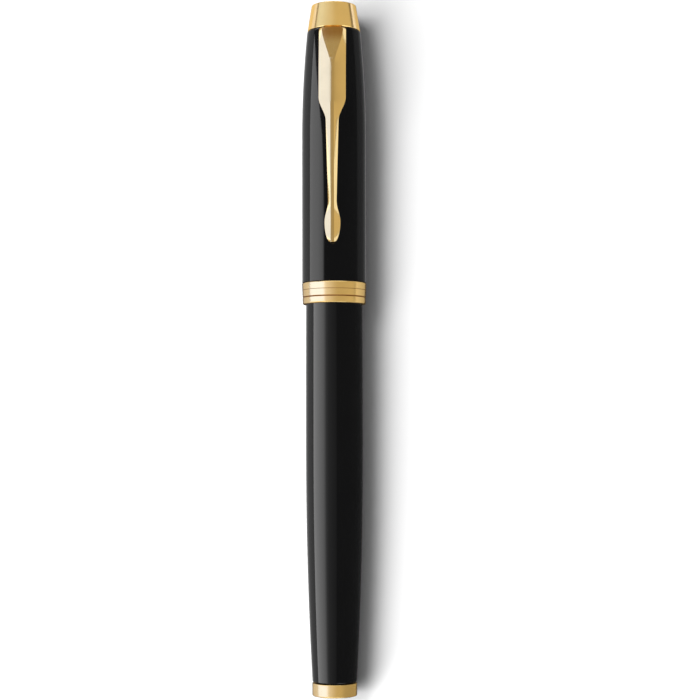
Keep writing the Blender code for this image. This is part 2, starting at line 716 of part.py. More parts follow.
def make_crown_screw(finish, parent):
    head_top = LINER_END + SCREW_HEAD_HEIGHT
    shank_top = SPIGOT_BOTTOM + SCREW_ENGAGEMENT
    corners = [
        (0, shank_top, 0),
        (SCREW_RADIUS, shank_top, 0),
        (SCREW_RADIUS, head_top, 0),
        (SCREW_HEAD_RADIUS, head_top, 0),
        (SCREW_HEAD_RADIUS, LINER_END, 0),
        (0, LINER_END, 0),
    ]
    screw = turned("crown_screw", rounded(corners), TIP_SIDES, finish, parent)
    half_slot = SCREW_SLOT_WIDTH / 2
    reach = 2 * SCREW_HEAD_RADIUS
    slot = box(
        "screw_slot",
        (-reach, -half_slot, LINER_END - SCREW_HEAD_HEIGHT),
        (reach, half_slot, LINER_END + SCREW_SLOT_DEPTH),
        parent,
    )
    combine(screw, slot, "DIFFERENCE")
    return screw


def make_clip_ring(finish, parent):
    """The clip's fixed end: a washer under the crown with a tab that leaves through the cap's rim."""
    corners = [
        (CLIP_RING_RADIUS, RING_TOP, 0),
        (CLIP_RING_RADIUS, RING_BOTTOM, 0),
        (SCREW_BORE, RING_BOTTOM, 0),
        (SCREW_BORE, RING_TOP, 0),
    ]
    ring = turned("clip_ring", rounded(corners), INNER_SIDES, finish, parent)
    half_tab = CLIP_TAB_WIDTH / 2
    tab = box(
        "clip_tab",
        (-half_tab, -CAP_TOP_RADIUS, RING_BOTTOM),
        (half_tab, -CLIP_RING_RADIUS / 2, RING_TOP),
        parent,
    )
    combine(ring, tab, "UNION")
    return ring


def make_cap_crown(finish, parent):
    """The end piece of the cap: a hollow truncated cone with a boss for the screw."""
    top_radius = CROWN_RADIUS - CROWN_TAPER
    roof = PEN_LENGTH - CROWN_WALL
    boss_radius = SCREW_BORE + CROWN_BOSS_WALL
    hole_top = SPIGOT_BOTTOM + SCREW_ENGAGEMENT + SEAT_GAP
    corners = [
        (0, PEN_LENGTH, 0),
        (top_radius, PEN_LENGTH, CROWN_EDGE_ROUND),
        (CROWN_RADIUS, CROWN_BOTTOM, CROWN_LIP_ROUND),
        (CLIP_RING_RADIUS, CROWN_BOTTOM, 0),
        (CLIP_RING_RADIUS, SPIGOT_BOTTOM, 0),
        (CLIP_RING_RADIUS - CROWN_WALL, SPIGOT_BOTTOM, 0),
        (top_radius - CROWN_WALL, roof, 0),
        (boss_radius, roof, 0),
        (boss_radius, SPIGOT_BOTTOM, 0),
        (SCREW_BORE, SPIGOT_BOTTOM, 0),
        (SCREW_BORE, hole_top, 0),
        (0, hole_top, 0),
    ]
    return turned("cap_crown", rounded(corners), SHELL_SIDES, finish, parent)


def clip_width(along):
    """The clip's width at a distance from its root: blade, shoulder, stem and a rounded foot."""
    shoulder_end = CLIP_BLADE_LENGTH + CLIP_SHOULDER_LENGTH
    foot_start = CLIP_LENGTH - CLIP_FOOT_LENGTH
    stem_share = min(1.0, max(0.0, along - shoulder_end) / (foot_start - shoulder_end))
    stem = CLIP_STEM_WIDTH + (CLIP_STEM_END_WIDTH - CLIP_STEM_WIDTH) * stem_share
    if along < foot_start:
        width = CLIP_BLADE_WIDTH
        width += (stem - width) * blend((along - CLIP_BLADE_LENGTH) / CLIP_SHOULDER_LENGTH)
        corner = max(0.0, 1 - along / CLIP_CORNER_ROUND)
        return width - 2 * CLIP_CORNER_ROUND * (1 - math.sqrt(1 - corner**2))
    share = (along - foot_start) / CLIP_FOOT_LENGTH
    full = stem + (CLIP_FOOT_WIDTH - stem) * blend(share / FOOT_WIDEST_SHARE)
    closing = max(0.0, (share - FOOT_WIDEST_SHARE) / (1 - FOOT_WIDEST_SHARE))
    return CLIP_FOOT_TIP_WIDTH + (full - CLIP_FOOT_TIP_WIDTH) * math.sqrt(1 - closing**2)


def clip_gap(along):
    """The room between the clip and the cap: it opens from the root and closes at the foot."""
    foot = CLIP_LENGTH - CLIP_FOOT_LENGTH / 2
    if along < foot:
        opened = SEAT_GAP + (CLIP_GAP - SEAT_GAP) * blend(along / CLIP_RISE_LENGTH)
        closing = blend((along - foot + CLIP_RISE_LENGTH) / CLIP_RISE_LENGTH)
        return opened + (CLIP_FOOT_GAP - opened) * closing
    return CLIP_FOOT_GAP + (CLIP_TIP_GAP - CLIP_FOOT_GAP) * blend((along - foot) / (CLIP_LENGTH - foot))


def clip_stations():
    """Distances from the clip's root, closer together where its width turns."""
    shoulder_end = CLIP_BLADE_LENGTH + CLIP_SHOULDER_LENGTH
    foot_start = CLIP_LENGTH - CLIP_FOOT_LENGTH
    stations = [0.0]
    for end in (CLIP_CORNER_ROUND, CLIP_BLADE_LENGTH, shoulder_end, foot_start):
        stations += spaced(stations[-1], end, CLIP_STRETCH_STEPS)[1:]
    quarters = spaced(0.0, math.pi / 2, CLIP_FOOT_STEPS)[1:]
    return stations + [foot_start + CLIP_FOOT_LENGTH * math.sin(quarter) for quarter in quarters]


def make_clip_arm(finish, parent, hinge_radius, hinge_height):
    """The sprung arm, a strip with a raised spine and sloping sides, in its hinge's frame."""
    rings = []
    for along in clip_stations():
        height = RING_TOP - along
        half = clip_width(along) / 2
        face = 1 - blend(along / CLIP_FACE_LENGTH)
        widest = half * CLIP_FACE_SHARE
        spine = min(widest, CLIP_SPINE_WIDTH / 2 + (widest - CLIP_SPINE_WIDTH / 2) * face)
        under = cap_radius(height) + clip_gap(along)
        edge, top = under + CLIP_EDGE_THICKNESS, under + CLIP_THICKNESS
        section = ((-half, under), (half, under), (half, edge), (spine, top), (-spine, top), (-half, edge))
        rings.append([(x, hinge_radius - r, height - hinge_height) for x, r in section])
    return lofted("clip_arm", rings, finish, parent)


def clear_scene():
    for old in list(bpy.data.objects):
        bpy.data.objects.remove(old, do_unlink=True)


def main():
    clear_scene()
    lacquer = material("black_lacquer", (0.008, 0.008, 0.009), 0.08, 0.0)
    gold = material("gold_plate", (0.83, 0.61, 0.27), 0.22, 1.0)
    grip_plastic = material("black_plastic", (0.012, 0.012, 0.013), 0.35, 0.0)
    liner_plastic = material("liner_plastic", (0.03, 0.03, 0.032), 0.5, 0.0)
    brass = material("raw_brass", (0.72, 0.53, 0.22), 0.4, 1.0)
    steel = material("spring_steel", (0.62, 0.63, 0.65), 0.3, 1.0)
    tube_metal = material("refill_metal", (0.70, 0.71, 0.73), 0.35, 1.0)
    holder_plastic = material("refill_plastic", (0.05, 0.05, 0.06), 0.45, 0.0)
    fibre = material("ink_fibre", (0.02, 0.02, 0.05), 0.95, 0.0)
    carbide = material("ball_carbide", (0.42, 0.43, 0.45), 0.15, 1.0)

    pen = frame("pen_frame", None, (0.0, -PEN_LENGTH / 2, BAND_RADIUS))
    pen.rotation_euler = (math.radians(-90), 0.0, 0.0)

    section = frame("section_frame", pen)
    make_grip_section(grip_plastic, section)
    make_nose_ring(gold, section)

    refill = frame("refill_frame", section)
    make_end_plug(holder_plastic, refill)
    make_refill_tube(tube_metal, refill)
    make_ink_reservoir(fibre, refill)
    make_tip_holder(holder_plastic, refill)
    make_feed_wick(fibre, refill)
    make_tip_socket(steel, refill)
    make_writing_ball(carbide, frame("ball_frame", refill, (0.0, 0.0, BALL_CENTRE)))

    spring = frame("spring_frame", section)
    make_spring(steel, spring)

    barrel = frame("barrel_frame", spring)
    make_barrel_shell(lacquer, barrel)
    make_thread_insert(brass, barrel)
    make_tail_plug(liner_plastic, barrel)
    make_tail_cap(gold, barrel)

    cap = frame("cap_frame", section)
    make_cap_shell(lacquer, cap)
    make_cap_band(gold, cap)
    make_cap_liner(liner_plastic, cap)
    make_crown_screw(steel, cap)
    make_clip_ring(gold, cap)
    make_cap_crown(gold, cap)

    hinge_radius = CAP_TOP_RADIUS + SEAT_GAP / 2
    hinge_height = (RING_BOTTOM + RING_TOP) / 2
    clip = frame("clip_frame", cap, (0.0, -hinge_radius, hinge_height))
    make_clip_arm(gold, clip, hinge_radius, hinge_height)


main()
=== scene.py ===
"""Looks of the rollerball pen: fine meshes, finishes, floor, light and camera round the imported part.

The pen lies along Y with its clip up. Every fine piece takes its place from the CAD node it stands for.
Units are metres.
"""

import math

import bmesh
import bpy
from mathutils import Matrix, Vector

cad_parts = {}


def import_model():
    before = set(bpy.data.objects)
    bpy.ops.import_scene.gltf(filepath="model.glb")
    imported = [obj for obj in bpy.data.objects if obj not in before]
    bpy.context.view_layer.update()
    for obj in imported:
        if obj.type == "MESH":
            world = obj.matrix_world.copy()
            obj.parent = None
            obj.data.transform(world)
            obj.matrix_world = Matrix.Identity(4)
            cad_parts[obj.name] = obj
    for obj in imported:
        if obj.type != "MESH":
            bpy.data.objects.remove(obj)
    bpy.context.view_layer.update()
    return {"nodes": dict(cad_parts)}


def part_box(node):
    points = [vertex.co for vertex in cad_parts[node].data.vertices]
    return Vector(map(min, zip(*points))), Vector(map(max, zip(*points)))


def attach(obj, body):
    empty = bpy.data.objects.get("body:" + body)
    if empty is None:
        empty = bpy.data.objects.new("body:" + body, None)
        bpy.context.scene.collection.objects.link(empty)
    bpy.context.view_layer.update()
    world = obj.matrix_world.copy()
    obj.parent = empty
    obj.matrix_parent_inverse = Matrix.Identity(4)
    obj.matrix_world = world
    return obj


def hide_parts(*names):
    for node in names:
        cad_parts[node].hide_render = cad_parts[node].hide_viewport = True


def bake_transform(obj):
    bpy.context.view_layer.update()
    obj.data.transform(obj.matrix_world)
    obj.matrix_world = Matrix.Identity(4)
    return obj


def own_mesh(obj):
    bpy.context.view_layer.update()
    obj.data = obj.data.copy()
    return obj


# Facets of the fine meshes
SHELL_SIDES = 160
SMALL_SIDES = 72
ROUND_STEPS = 6
CURVE_STEPS = 48
THREAD_SIDES = 48
SHARP_ANGLE = math.radians(32)
MERGE_DISTANCE = 1e-7
ROUND_REACH = 0.49

# Barrel and tail
BARREL_FRONT_RADIUS = 0.00558
BARREL_SWELL = 0.00007
BARREL_TAIL_RADIUS = 0.00441
BARREL_TAPER_LENGTH = 0.0451
BARREL_WALL = 0.00068
BARREL_EDGE_ROUND = 0.00006
BARREL_EDGE_GUARD = 0.00018
TAIL_CAP_LENGTH = 0.0026
TAIL_EDGE_ROUND = 0.00028
TAIL_LIP_ROUND = 0.00014
TAIL_STUD_RADIUS = 0.0014

# Cap
CAP_WALL = 0.00045
CAP_TAPER_LENGTH = 0.0216
CAP_TAPER_DROP = 0.00107
CAP_SHOULDER_ROUND = 0.0003
CAP_SHOULDER_CLEAR = 0.00048
CAP_RIM_WALL = 0.00081
CAP_RIM_DEPTH = 0.0016
CLIP_NOTCH_WIDTH = 0.0047
CLIP_NOTCH_DEPTH = 0.0013
BAND_TAPER = 0.00016
BAND_LIP_WALL = 0.00066
BAND_LEDGE = 0.0020
BAND_UPPER_WALL = 0.00051
BAND_UPPER_GROOVE = 0.00142
BAND_UPPER_GROOVE_WIDTH = 0.00010
BAND_UPPER_GROOVE_DEPTH = 0.00004
BAND_LOWER_GROOVE = 0.00284
BAND_LOWER_GROOVE_WIDTH = 0.00028
BAND_LOWER_GROOVE_DEPTH = 0.00011
BAND_TOP_ROUND = 0.00004
BAND_TOP_CHAMFER = (0.00011, 0.00015)
BAND_LIP_ROUND = 0.00036
CROWN_HEIGHT = 0.0051
CROWN_TAPER = 0.00080
CROWN_TOP_ROUND = 0.00022
CROWN_LIP_ROUND = 0.00004
CROWN_LIP_CHAMFER = (0.00009, 0.00017)
CROWN_SPIGOT_RADIUS = 0.00437

# Clip
CLIP_BLADE_WIDTH = 0.0053
CLIP_BLADE_LENGTH = 0.0140
CLIP_SHOULDER_LENGTH = 0.0045
CLIP_STEM_WIDTH = 0.0025
CLIP_STEM_END_WIDTH = 0.00166
CLIP_FOOT_WIDTH = 0.0031
CLIP_FOOT_LENGTH = 0.0080
CLIP_FOOT_TIP_WIDTH = 0.0006
CLIP_FOOT_WIDEST = 0.5
CLIP_THICKNESS = 0.0010
CLIP_EDGE_THICKNESS = 0.0005
CLIP_SPINE_WIDTH = 0.0007
CLIP_FACE_SHARE = 0.8
CLIP_FACE_LENGTH = 0.0080
CLIP_CORNER_ROUND = 0.0006
CLIP_ROOT_GAP = 0.0001
CLIP_GAP = 0.0010
CLIP_FOOT_GAP = 0.0003
CLIP_TIP_GAP = 0.0007
CLIP_RISE_LENGTH = 0.0100
CLIP_EDGE_BEVEL = 0.00013
CLIP_BEVEL_STEPS = 3
CLIP_BEVEL_ANGLE = math.radians(14)
CLIP_STRETCH_STEPS = 12

# Grip section, nose ring and tip
COLLAR_RADIUS = 0.0050
COLLAR_LENGTH = 0.0012
COLLAR_ROUND = 0.0002
GRIP_REAR_RADIUS = 0.0046
GRIP_FRONT_RADIUS = 0.0036
GRIP_WAIST = 0.00025
GRIP_LENGTH = 0.0310
GRIP_BORE = 0.0032
NOSE_BORE = 0.00225
NOSE_BORE_LENGTH = 0.0156
NOSE_SPIGOT_RADIUS = 0.0029
NOSE_SPIGOT_LENGTH = 0.0015
NOSE_CLEARANCE = 0.0001
SNAP_BEAD_HEIGHT = 0.00015
SNAP_BEAD_OFFSET = 0.0026
SNAP_BEAD_WIDTH = 0.0010
GRIP_GROOVES = 4
GRIP_GROOVE_SPACING = 0.0016
GRIP_GROOVE_WIDTH = 0.0005
GRIP_GROOVE_DEPTH = 0.00012
GRIP_GROOVE_OFFSET = 0.0035
THREAD_CORE = 0.00375
THREAD_CREST = 0.00410
THREAD_PITCH = 0.0008
THREAD_TURNS = 6
THREAD_LEAD = 0.0015
THREAD_FADE_TURNS = 0.25
THREAD_END_SHARE = 0.2
THREAD_BURIED = 0.00015
RIDGE_ROOT_WIDTH = 0.00034
RIDGE_CREST_WIDTH = 0.00016
TIP_HOLE = 0.0013
NOSE_RING_LIP = 0.0008
NOSE_RING_ROUND = 0.00015
TIP_RADIUS = 0.00115
TIP_CONE_LENGTH = 0.0024
TIP_RIM_RADIUS = 0.00049
TIP_RIM_ROUND = 0.00004
TIP_SHOULDER_ROUND = 0.0004
TIP_BORE = 0.0006
TIP_SOCKET_RADIUS = 0.00039
BALL_SUBDIVISIONS = 4
SPRING_COIL_RADIUS = 0.0020
SPRING_WIRE_RADIUS = 0.00025
SPRING_TURNS = 5
SPRING_STEPS = 32
SPRING_WIRE_SIDES = 12

# Finishes. The clip's level face takes a painted shade, deepening between two distances from its root,
# where the crown shades it.
GOLD = (0.87, 0.55, 0.165)
GOLD_EDGE = (1.0, 0.9, 0.7, 1.0)
GOLD_VARIATION = 0.03
# Painted shade: a darker gold for the band's engraved lines and for the clip ring under the crown.
PAINTED_SHADE_GOLD = (0.38, 0.17, 0.035)
# Painted shade: the brown that the clip's level face fades to near its root, in the crown's shadow.
CLIP_ROOT_SHADE_COLOUR = (0.58, 0.27, 0.055)
CLIP_SHADE_START = 0.0036
CLIP_SHADE_FULL = 0.0008
CLIP_FACE_ASIDE = 0.05
CLIP_FACE_UP = 0.5
PLASTIC_LIGHTER = 1.35
METAL_DARKER = 0.85
NOISE_RANGE = (0.3, 0.7)
STAGE_COLOUR = (0.9, 0.9, 0.9)
STAGE_ROUGHNESS = 0.9

# Camera, placed from the curve of the rings and the length of the pen in the photograph
CAMERA_DISTANCE = 0.350
CAMERA_FOOT = 0.0490
CAMERA_TURN = math.radians(2.6)
CAMERA_ROLL = math.radians(-0.075)
PHOTO_SIZE = 700
PIXELS_PER_METRE = 5030
FOOT_ACROSS_PIXELS = 334.4
FOOT_DOWN_PIXELS = 449.0
SENSOR_WIDTH_MM = 36.0
CAMERA_CLIP_START = 0.01

# Surroundings
FLOOR_HALF = 1.5
FLOOR_GLOW = (0.14, 0.5)
BACKDROP_RADIUS = 1.4
BACKDROP_HEIGHT = 3.0
BACKDROP_MIDDLE = 1.2
BACKDROP_SIDES = 64

# Light, as radiance where a white floor in full light is about 1. A softbox is graded between
# (bearing, radiance) stops; bearings are in degrees, from straight up towards the left of the pen.
# SOFTBOXES rows hold a name, the groups that are lit, a tint and the stops. PALE_BOXES and SIDE_BOXES
# rows also hold where the box starts and ends along the pen.
POWER_PER_RADIANCE = 4.0
BOX_DISTANCE = 0.7
BOX_LENGTH = 2.4
WORLD_RADIANCE = 0.06
WHITE = (1.0, 1.0, 1.0)
PALE = (0.255, 0.368, 1.0)
LACQUER = ("cap", "barrel")
CAP_STOPS = ((31, 0.05), (33.5, 0.3), (38, 0.66), (44, 0.78), (54, 0.92), (88, 1.02), (91, 1.25))
CAP_BOX_END = 0.25
CAP_BOX_SLANT = math.radians(16)
FLOOR_SLANT = math.radians(30)
FLOOR_BOX_END = 0.50
FLOOR_BOX_LENGTH = 1.5
FLOOR_TURN_AT = -0.10
BARREL_SHADE_STOPS = ((-12, 0.03), (5, 0.07), (20, 0.11), (30, 0.22))
BARREL_LIGHT_STOPS = ((36, 0.5), (42, 0.78), (53, 1.0), (70, 1.28), (91, 1.62))
CROWN_LEFT_STOPS = ((-15, 0.0), (0, 0.17), (30, 0.5), (60, 0.9), (86, 0.95))
RING_LEFT_STOPS = ((-13, 0.0), (0, 0.25), (16, 0.7), (31, 0.9), (36, 3.6), (96, 3.6))
TAIL_LEFT_STOPS = ((-13, 0.0), (0, 0.25), (16, 0.6), (31, 0.8), (36, 3.4), (91, 3.4))
CLIP_LEFT_STOPS = ((10, 0.0), (16, 2.95), (73, 2.95))
SOFTBOXES = (
    ("key", ("floor",), WHITE, ((30.5, 8.6), (50.5, 8.6))),
    ("key_top", ("floor",), WHITE, ((10, 1.0), (30, 1.0))),
    ("floor_fill", ("floor",), WHITE, ((-60, 0.12), (0, 0.12))),
    ("barrel_left", ("barrel",), WHITE, BARREL_SHADE_STOPS + BARREL_LIGHT_STOPS),
    ("table_left", LACQUER, WHITE, ((93, 0.22), (130, 0.22), (150, 0.34), (175, 0.42))),
    ("table_right", ("cap",), WHITE, ((-175, 0.24), (-140, 0.10), (-128, 0.06), (-95, 0.06))),
    ("ring_top", ("ring", "tail"), WHITE, ((-40, 0.43), (35, 0.42))),
    ("ring_right", ("ring",), WHITE, ((-90, 0.28), (-83, 0.30), (-74, 0.47), (-40, 0.43))),
    ("ring_table_left", ("ring", "tail"), (0.48, 0.56, 1.0), ((98, 1.3), (150, 0.85))),
    ("ring_table_right", ("ring",), (0.75, 0.8, 1.0), ((-150, 0.45), (-88, 0.85))),
    ("tail_edge_left", ("tail",), (0.48, 0.56, 1.0), ((91, 1.1), (98, 1.1))),
    ("tail_right", ("tail",), WHITE, ((-150, 0.30), (-60, 0.31), (-40, 0.40))),
    ("crown_left", ("crown",), (0.17, 0.36, 1.0), CROWN_LEFT_STOPS),
    ("crown_top_left", ("crown",), WHITE, ((0, 0.52), (86, 0.52), (88, 0.15), (96, 0.12))),
    ("crown_top_right", ("crown",), WHITE, ((-104, 0.08), (-92, 0.10), (-89, 0.54), (0, 0.50))),
    ("crown_table_left", ("crown",), (0.5, 0.57, 1.0), ((96, 1.9), (118, 1.4))),
    ("crown_rim_left", ("crown",), WHITE, ((118, 0.75), (165, 0.7))),
    ("crown_table_right", ("crown",), (0.46, 0.54, 1.0), ((-125, 1.3), (-104, 2.3))),
    ("crown_rim_right", ("crown",), WHITE, ((-165, 0.5), (-125, 0.6))),
    ("clip_top", ("clip",), WHITE, ((-30, 0.48), (-14, 0.42), (-8, 0.3), (12, 0.27))),
    ("clip_right", ("clip",), WHITE, ((-60, 0.5), (-30, 0.47))),
    ("clip_edge", ("clip",), (0.5, 0.6, 1.0), ((-130, 1.5), (-62, 1.7))),
    ("clip_table", ("clip",), WHITE, ((95, 0.5), (150, 0.5))),
    ("clip_low", ("clip",), (0.38, 0.5, 1.0), ((73, 3.1), (91, 3.1))),
    ("plain_left", ("plain",), WHITE, ((40, 1.1), (88, 1.1))),
    ("plain_top", ("plain",), WHITE, ((-40, 0.55), (40, 0.55))),
    ("plain_right", ("plain",), WHITE, ((-88, 0.4), (-40, 0.4))),
    ("plain_table", ("plain",), WHITE, ((130, 0.4), (230, 0.4))),
)
PALE_BOXES = (
    ("ring_left", "ring", (-0.12, 0.36), RING_LEFT_STOPS),
    ("tail_left", "tail", (-0.42, 0.06), TAIL_LEFT_STOPS),
    ("clip_left", "clip", (-0.10, 0.66), CLIP_LEFT_STOPS),
)
PALE_BEYOND = 0.3
RIGHT_STOPS = ((-64, 0.02), (-52, 0.9), (-28, 0.9), (-14, 0.02))
LEFT_STOPS = ((22, 0.02), (34, 0.6), (50, 0.9), (88, 1.1))
SIDE_BOXES = (
    ("barrel_front", "barrel", RIGHT_STOPS, 0.15, 1.5),
    ("barrel_back", "barrel", RIGHT_STOPS, -1.5, -0.3),
    ("cap_front", "cap", RIGHT_STOPS, 0.5, 1.6),
    ("cap_back", "cap", RIGHT_STOPS, -1.5, 0.02),
    ("cap_front_left", "cap", LEFT_STOPS, 0.45, 1.6),
)
TRIM = ("ring", "tail", "crown", "clip")
LIP_TILT = math.radians(44)
LIP_BEARINGS = (-84, -42, 0, 42, 84)
LIP_RADIANCE = 1.25
LIP_SIZE = 0.45
END_RADIANCE = 1.7
PLAIN_END_RADIANCE = 0.6
END_TINT = (0.6, 0.7, 1.0)
END_ELEVATION = math.radians(6)
END_SIZE = 0.7


class Pen:
    """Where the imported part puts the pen: its axis height, its tail and each node's span."""

    def __init__(self):
        low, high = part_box("cap_band")
        self.axis = (low.z + high.z) / 2
        self.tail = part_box("tail_cap")[0].y

    def ends(self, node):
        low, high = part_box(node)
        return low.y, high.y

    def radius(self, node):
        low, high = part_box(node)
        return (high.x - low.x) / 2


def finish_mesh(name, builder, material, pen=None):
    """One object from a bmesh. Where pen is given, the mesh is lifted to the pen's axis."""
    bmesh.ops.recalc_face_normals(builder, faces=builder.faces)
    if pen:
        bmesh.ops.translate(builder, vec=(0.0, 0.0, pen.axis), verts=builder.verts)
    mesh = bpy.data.meshes.new(name)
    builder.to_mesh(mesh)
    builder.free()
    mesh.shade_smooth()
    mesh.set_sharp_from_angle(angle=SHARP_ANGLE)
    mesh.materials.append(material)
    made = bpy.data.objects.new(name, mesh)
    bpy.context.scene.collection.objects.link(made)
    return made


def spaced(start, end, steps):
    return [start + (end - start) * step / steps for step in range(steps + 1)]


def blend(value):
    """Smooth step from 0 to 1."""
    value = max(0.0, min(1.0, value))
    return value * value * (3 - 2 * value)


def rounded(corners):
    """An outline of (radius, y) points from (radius, y, rounding) corners."""
    points = []
    for index, (radius, along, rounding) in enumerate(corners):
        corner = Vector((radius, along))
        if not rounding:
            points.append(corner)
            continue
        before = Vector(corners[index - 1][:2]) - corner
        after = Vector(corners[(index + 1) % len(corners)][:2]) - corner
        half_angle = before.angle(after) / 2
        room = ROUND_REACH * min(before.length, after.length)
        reach = min(rounding / math.tan(half_angle), room)
        bisector = (before.normalized() + after.normalized()).normalized()
        centre = corner + bisector * (reach / math.cos(half_angle))
        first = corner + before.normalized() * reach - centre
        last = corner + after.normalized() * reach - centre
        turn = -first.angle_signed(last)
        for step in range(ROUND_STEPS + 1):
            angle = turn * step / ROUND_STEPS
            across = first.x * math.cos(angle) - first.y * math.sin(angle)
            up = first.x * math.sin(angle) + first.y * math.cos(angle)
            points.append(centre + Vector((across, up)))
    return points


def spin(builder, outline, sides):
    """Adds a solid of revolution about Y to a bmesh, from a closed (radius, y) outline."""
    verts = [builder.verts.new((radius, along, 0.0)) for radius, along in outline]
    pairs = list(zip(verts, verts[1:]))
    if outline[0][0] > 0 or outline[-1][0] > 0:
        pairs.append((verts[-1], verts[0]))
    edges = [builder.edges.new(pair) for pair in pairs]
    bmesh.ops.spin(
        builder, geom=verts + edges, cent=(0, 0, 0), axis=(0, 1, 0), angle=math.tau, steps=sides
    )
    bmesh.ops.remove_doubles(builder, verts=builder.verts, dist=MERGE_DISTANCE)


def skin(builder, loops):
    """Joins loops of vertices into one closed tube."""
    for first, second in zip(loops, loops[1:]):
        for index in range(len(first)):
            following = (index + 1) % len(first)
            builder.faces.new((first[index], first[following], second[following], second[index]))
    builder.faces.new(loops[0])
    builder.faces.new(loops[-1])


def turned(name, outline, sides, material, pen):
    builder = bmesh.new()
    spin(builder, outline, sides)
    return finish_mesh(name, builder, material, pen)


def stand_in(piece, body, slot, *nodes):
    """Puts a fine piece in place of CAD nodes on their body."""
    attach(piece, body)
    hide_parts(*nodes)
    return piece


class Shader:
    """A Principled material whose nodes are added one at a time."""

    def __init__(self, name, colour, metallic, roughness):
        self.material = bpy.data.materials.new(name)
        self.material.use_nodes = True
        self.tree = self.material.node_tree
        self.principled = self.tree.nodes["Principled BSDF"]
        self.principled.inputs["Base Color"].default_value = (*colour, 1.0)
        self.principled.inputs["Metallic"].default_value = metallic
        self.principled.inputs["Roughness"].default_value = roughness

    def set(self, socket, value):
        self.principled.inputs[socket].default_value = value

    def noise(self, stretch, detail=2.0):
        """Noise in the piece's own metres; stretch is features per metre along X, Y and Z."""
        place = self.tree.nodes.new("ShaderNodeTexCoord")
        mapping = self.tree.nodes.new("ShaderNodeMapping")
        mapping.inputs["Scale"].default_value = stretch
        texture = self.tree.nodes.new("ShaderNodeTexNoise")
        texture.inputs["Scale"].default_value = 1.0
        texture.inputs["Detail"].default_value = detail
        self.tree.links.new(place.outputs["Object"], mapping.inputs["Vector"])
        self.tree.links.new(mapping.outputs["Vector"], texture.inputs["Vector"])
        return texture.outputs["Fac"]

    def ramp_value(self, source, low, high):
        """Maps the noise's usual range onto low to high."""
        spread = self.tree.nodes.new("ShaderNodeMapRange")
        spread.inputs["From Min"].default_value = NOISE_RANGE[0]
        spread.inputs["From Max"].default_value = NOISE_RANGE[1]
        spread.inputs["To Min"].default_value = low
        spread.inputs["To Max"].default_value = high
        self.tree.links.new(source, spread.inputs["Value"])
        return spread.outputs["Result"]

    def vary_roughness(self, source, low, high):
        self.tree.links.new(self.ramp_value(source, low, high), self.principled.inputs["Roughness"])

    def vary_colour(self, source, first, second):
        mix = self.tree.nodes.new("ShaderNodeMix")
        mix.data_type = "RGBA"
        mix.inputs["A"].default_value = (*first, 1.0)
        mix.inputs["B"].default_value = (*second, 1.0)
        self.tree.links.new(self.ramp_value(source, 0.0, 1.0), mix.inputs["Factor"])
        self.tree.links.new(mix.outputs["Result"], self.principled.inputs["Base Color"])

    def fade_along(self, start, end, colour):
        """Fades the base colour to another one between two places along Y."""
        place = self.tree.nodes.new("ShaderNodeTexCoord")
        axes = self.tree.nodes.new("ShaderNodeSeparateXYZ")
        share = self.tree.nodes.new("ShaderNodeMapRange")
        share.interpolation_type = "SMOOTHSTEP"
        share.inputs["From Min"].default_value = start
        share.inputs["From Max"].default_value = end
        mix = self.tree.nodes.new("ShaderNodeMix")
        mix.data_type = "RGBA"
        mix.inputs["B"].default_value = (*colour, 1.0)
        base = self.principled.inputs["Base Color"]
        self.tree.links.new(place.outputs["Object"], axes.inputs["Vector"])
        self.tree.links.new(axes.outputs["Y"], share.inputs["Value"])
        self.tree.links.new(base.links[0].from_socket, mix.inputs["A"])
        self.tree.links.new(share.outputs["Result"], mix.inputs["Factor"])
        self.tree.links.new(mix.outputs["Result"], base)

    def glow_beyond(self, start, end):
        """Lifts the surface to white between two distances from the piece's middle."""
        place = self.tree.nodes.new("ShaderNodeTexCoord")
        away = self.tree.nodes.new("ShaderNodeVectorMath")
        away.operation = "LENGTH"
        share = self.tree.nodes.new("ShaderNodeMapRange")
        share.interpolation_type = "SMOOTHSTEP"
        share.inputs["From Min"].default_value = start
        share.inputs["From Max"].default_value = end
        self.set("Emission Color", (1.0, 1.0, 1.0, 1.0))
        self.tree.links.new(place.outputs["Object"], away.inputs[0])
        self.tree.links.new(away.outputs["Value"], share.inputs["Value"])
        self.tree.links.new(share.outputs["Result"], self.principled.inputs["Emission Strength"])
        self.material.cycles.emission_sampling = "NONE"

    def bump(self, source, height):
        """A bump of the given height in metres."""
        node = self.tree.nodes.new("ShaderNodeBump")
        node.inputs["Strength"].default_value = 1.0
        node.inputs["Distance"].default_value = height
        self.tree.links.new(source, node.inputs["Height"])
        self.tree.links.new(node.outputs["Normal"], self.principled.inputs["Normal"])


def lacquer_material():
    """Deep black lacquer: glossy, with the faintest waviness and a slightly uneven gloss."""
    shader = Shader("black_lacquer", (0.004, 0.004, 0.0045), 0.0, 0.06)
    shader.set("IOR", 1.8)
    cloud = shader.noise((180, 60, 180))
    shader.vary_colour(cloud, (0.0035, 0.0035, 0.0040), (0.0055, 0.0055, 0.0058))
    shader.vary_roughness(shader.noise((700, 300, 700)), 0.045, 0.085)
    shader.bump(shader.noise((420, 260, 420), 1.0), 0.0000012)
    return shader.material


def gold_material(name, roughness, streaks, streak_height, anisotropy=0.0, tone=GOLD):
    """Gold-coloured plating; streaks sets how its fine polishing lines run."""
    shader = Shader(name, tone, 1.0, sum(roughness) / 2)
    shader.set("Anisotropic", anisotropy)
    shader.set("Specular Tint", GOLD_EDGE)
    darker = tuple(channel * (1 - GOLD_VARIATION) for channel in tone)
    lighter = tuple(channel * (1 + GOLD_VARIATION) for channel in tone)
    shader.vary_colour(shader.noise((250, 250, 250)), darker, lighter)
    lines = shader.noise(streaks, 3.0)
    shader.vary_roughness(lines, *roughness)
    shader.bump(lines, streak_height)
    return shader


def clip_material(name):
    return gold_material(name, (0.13, 0.20), (5000, 60, 5000), 0.0000012, 0.2)


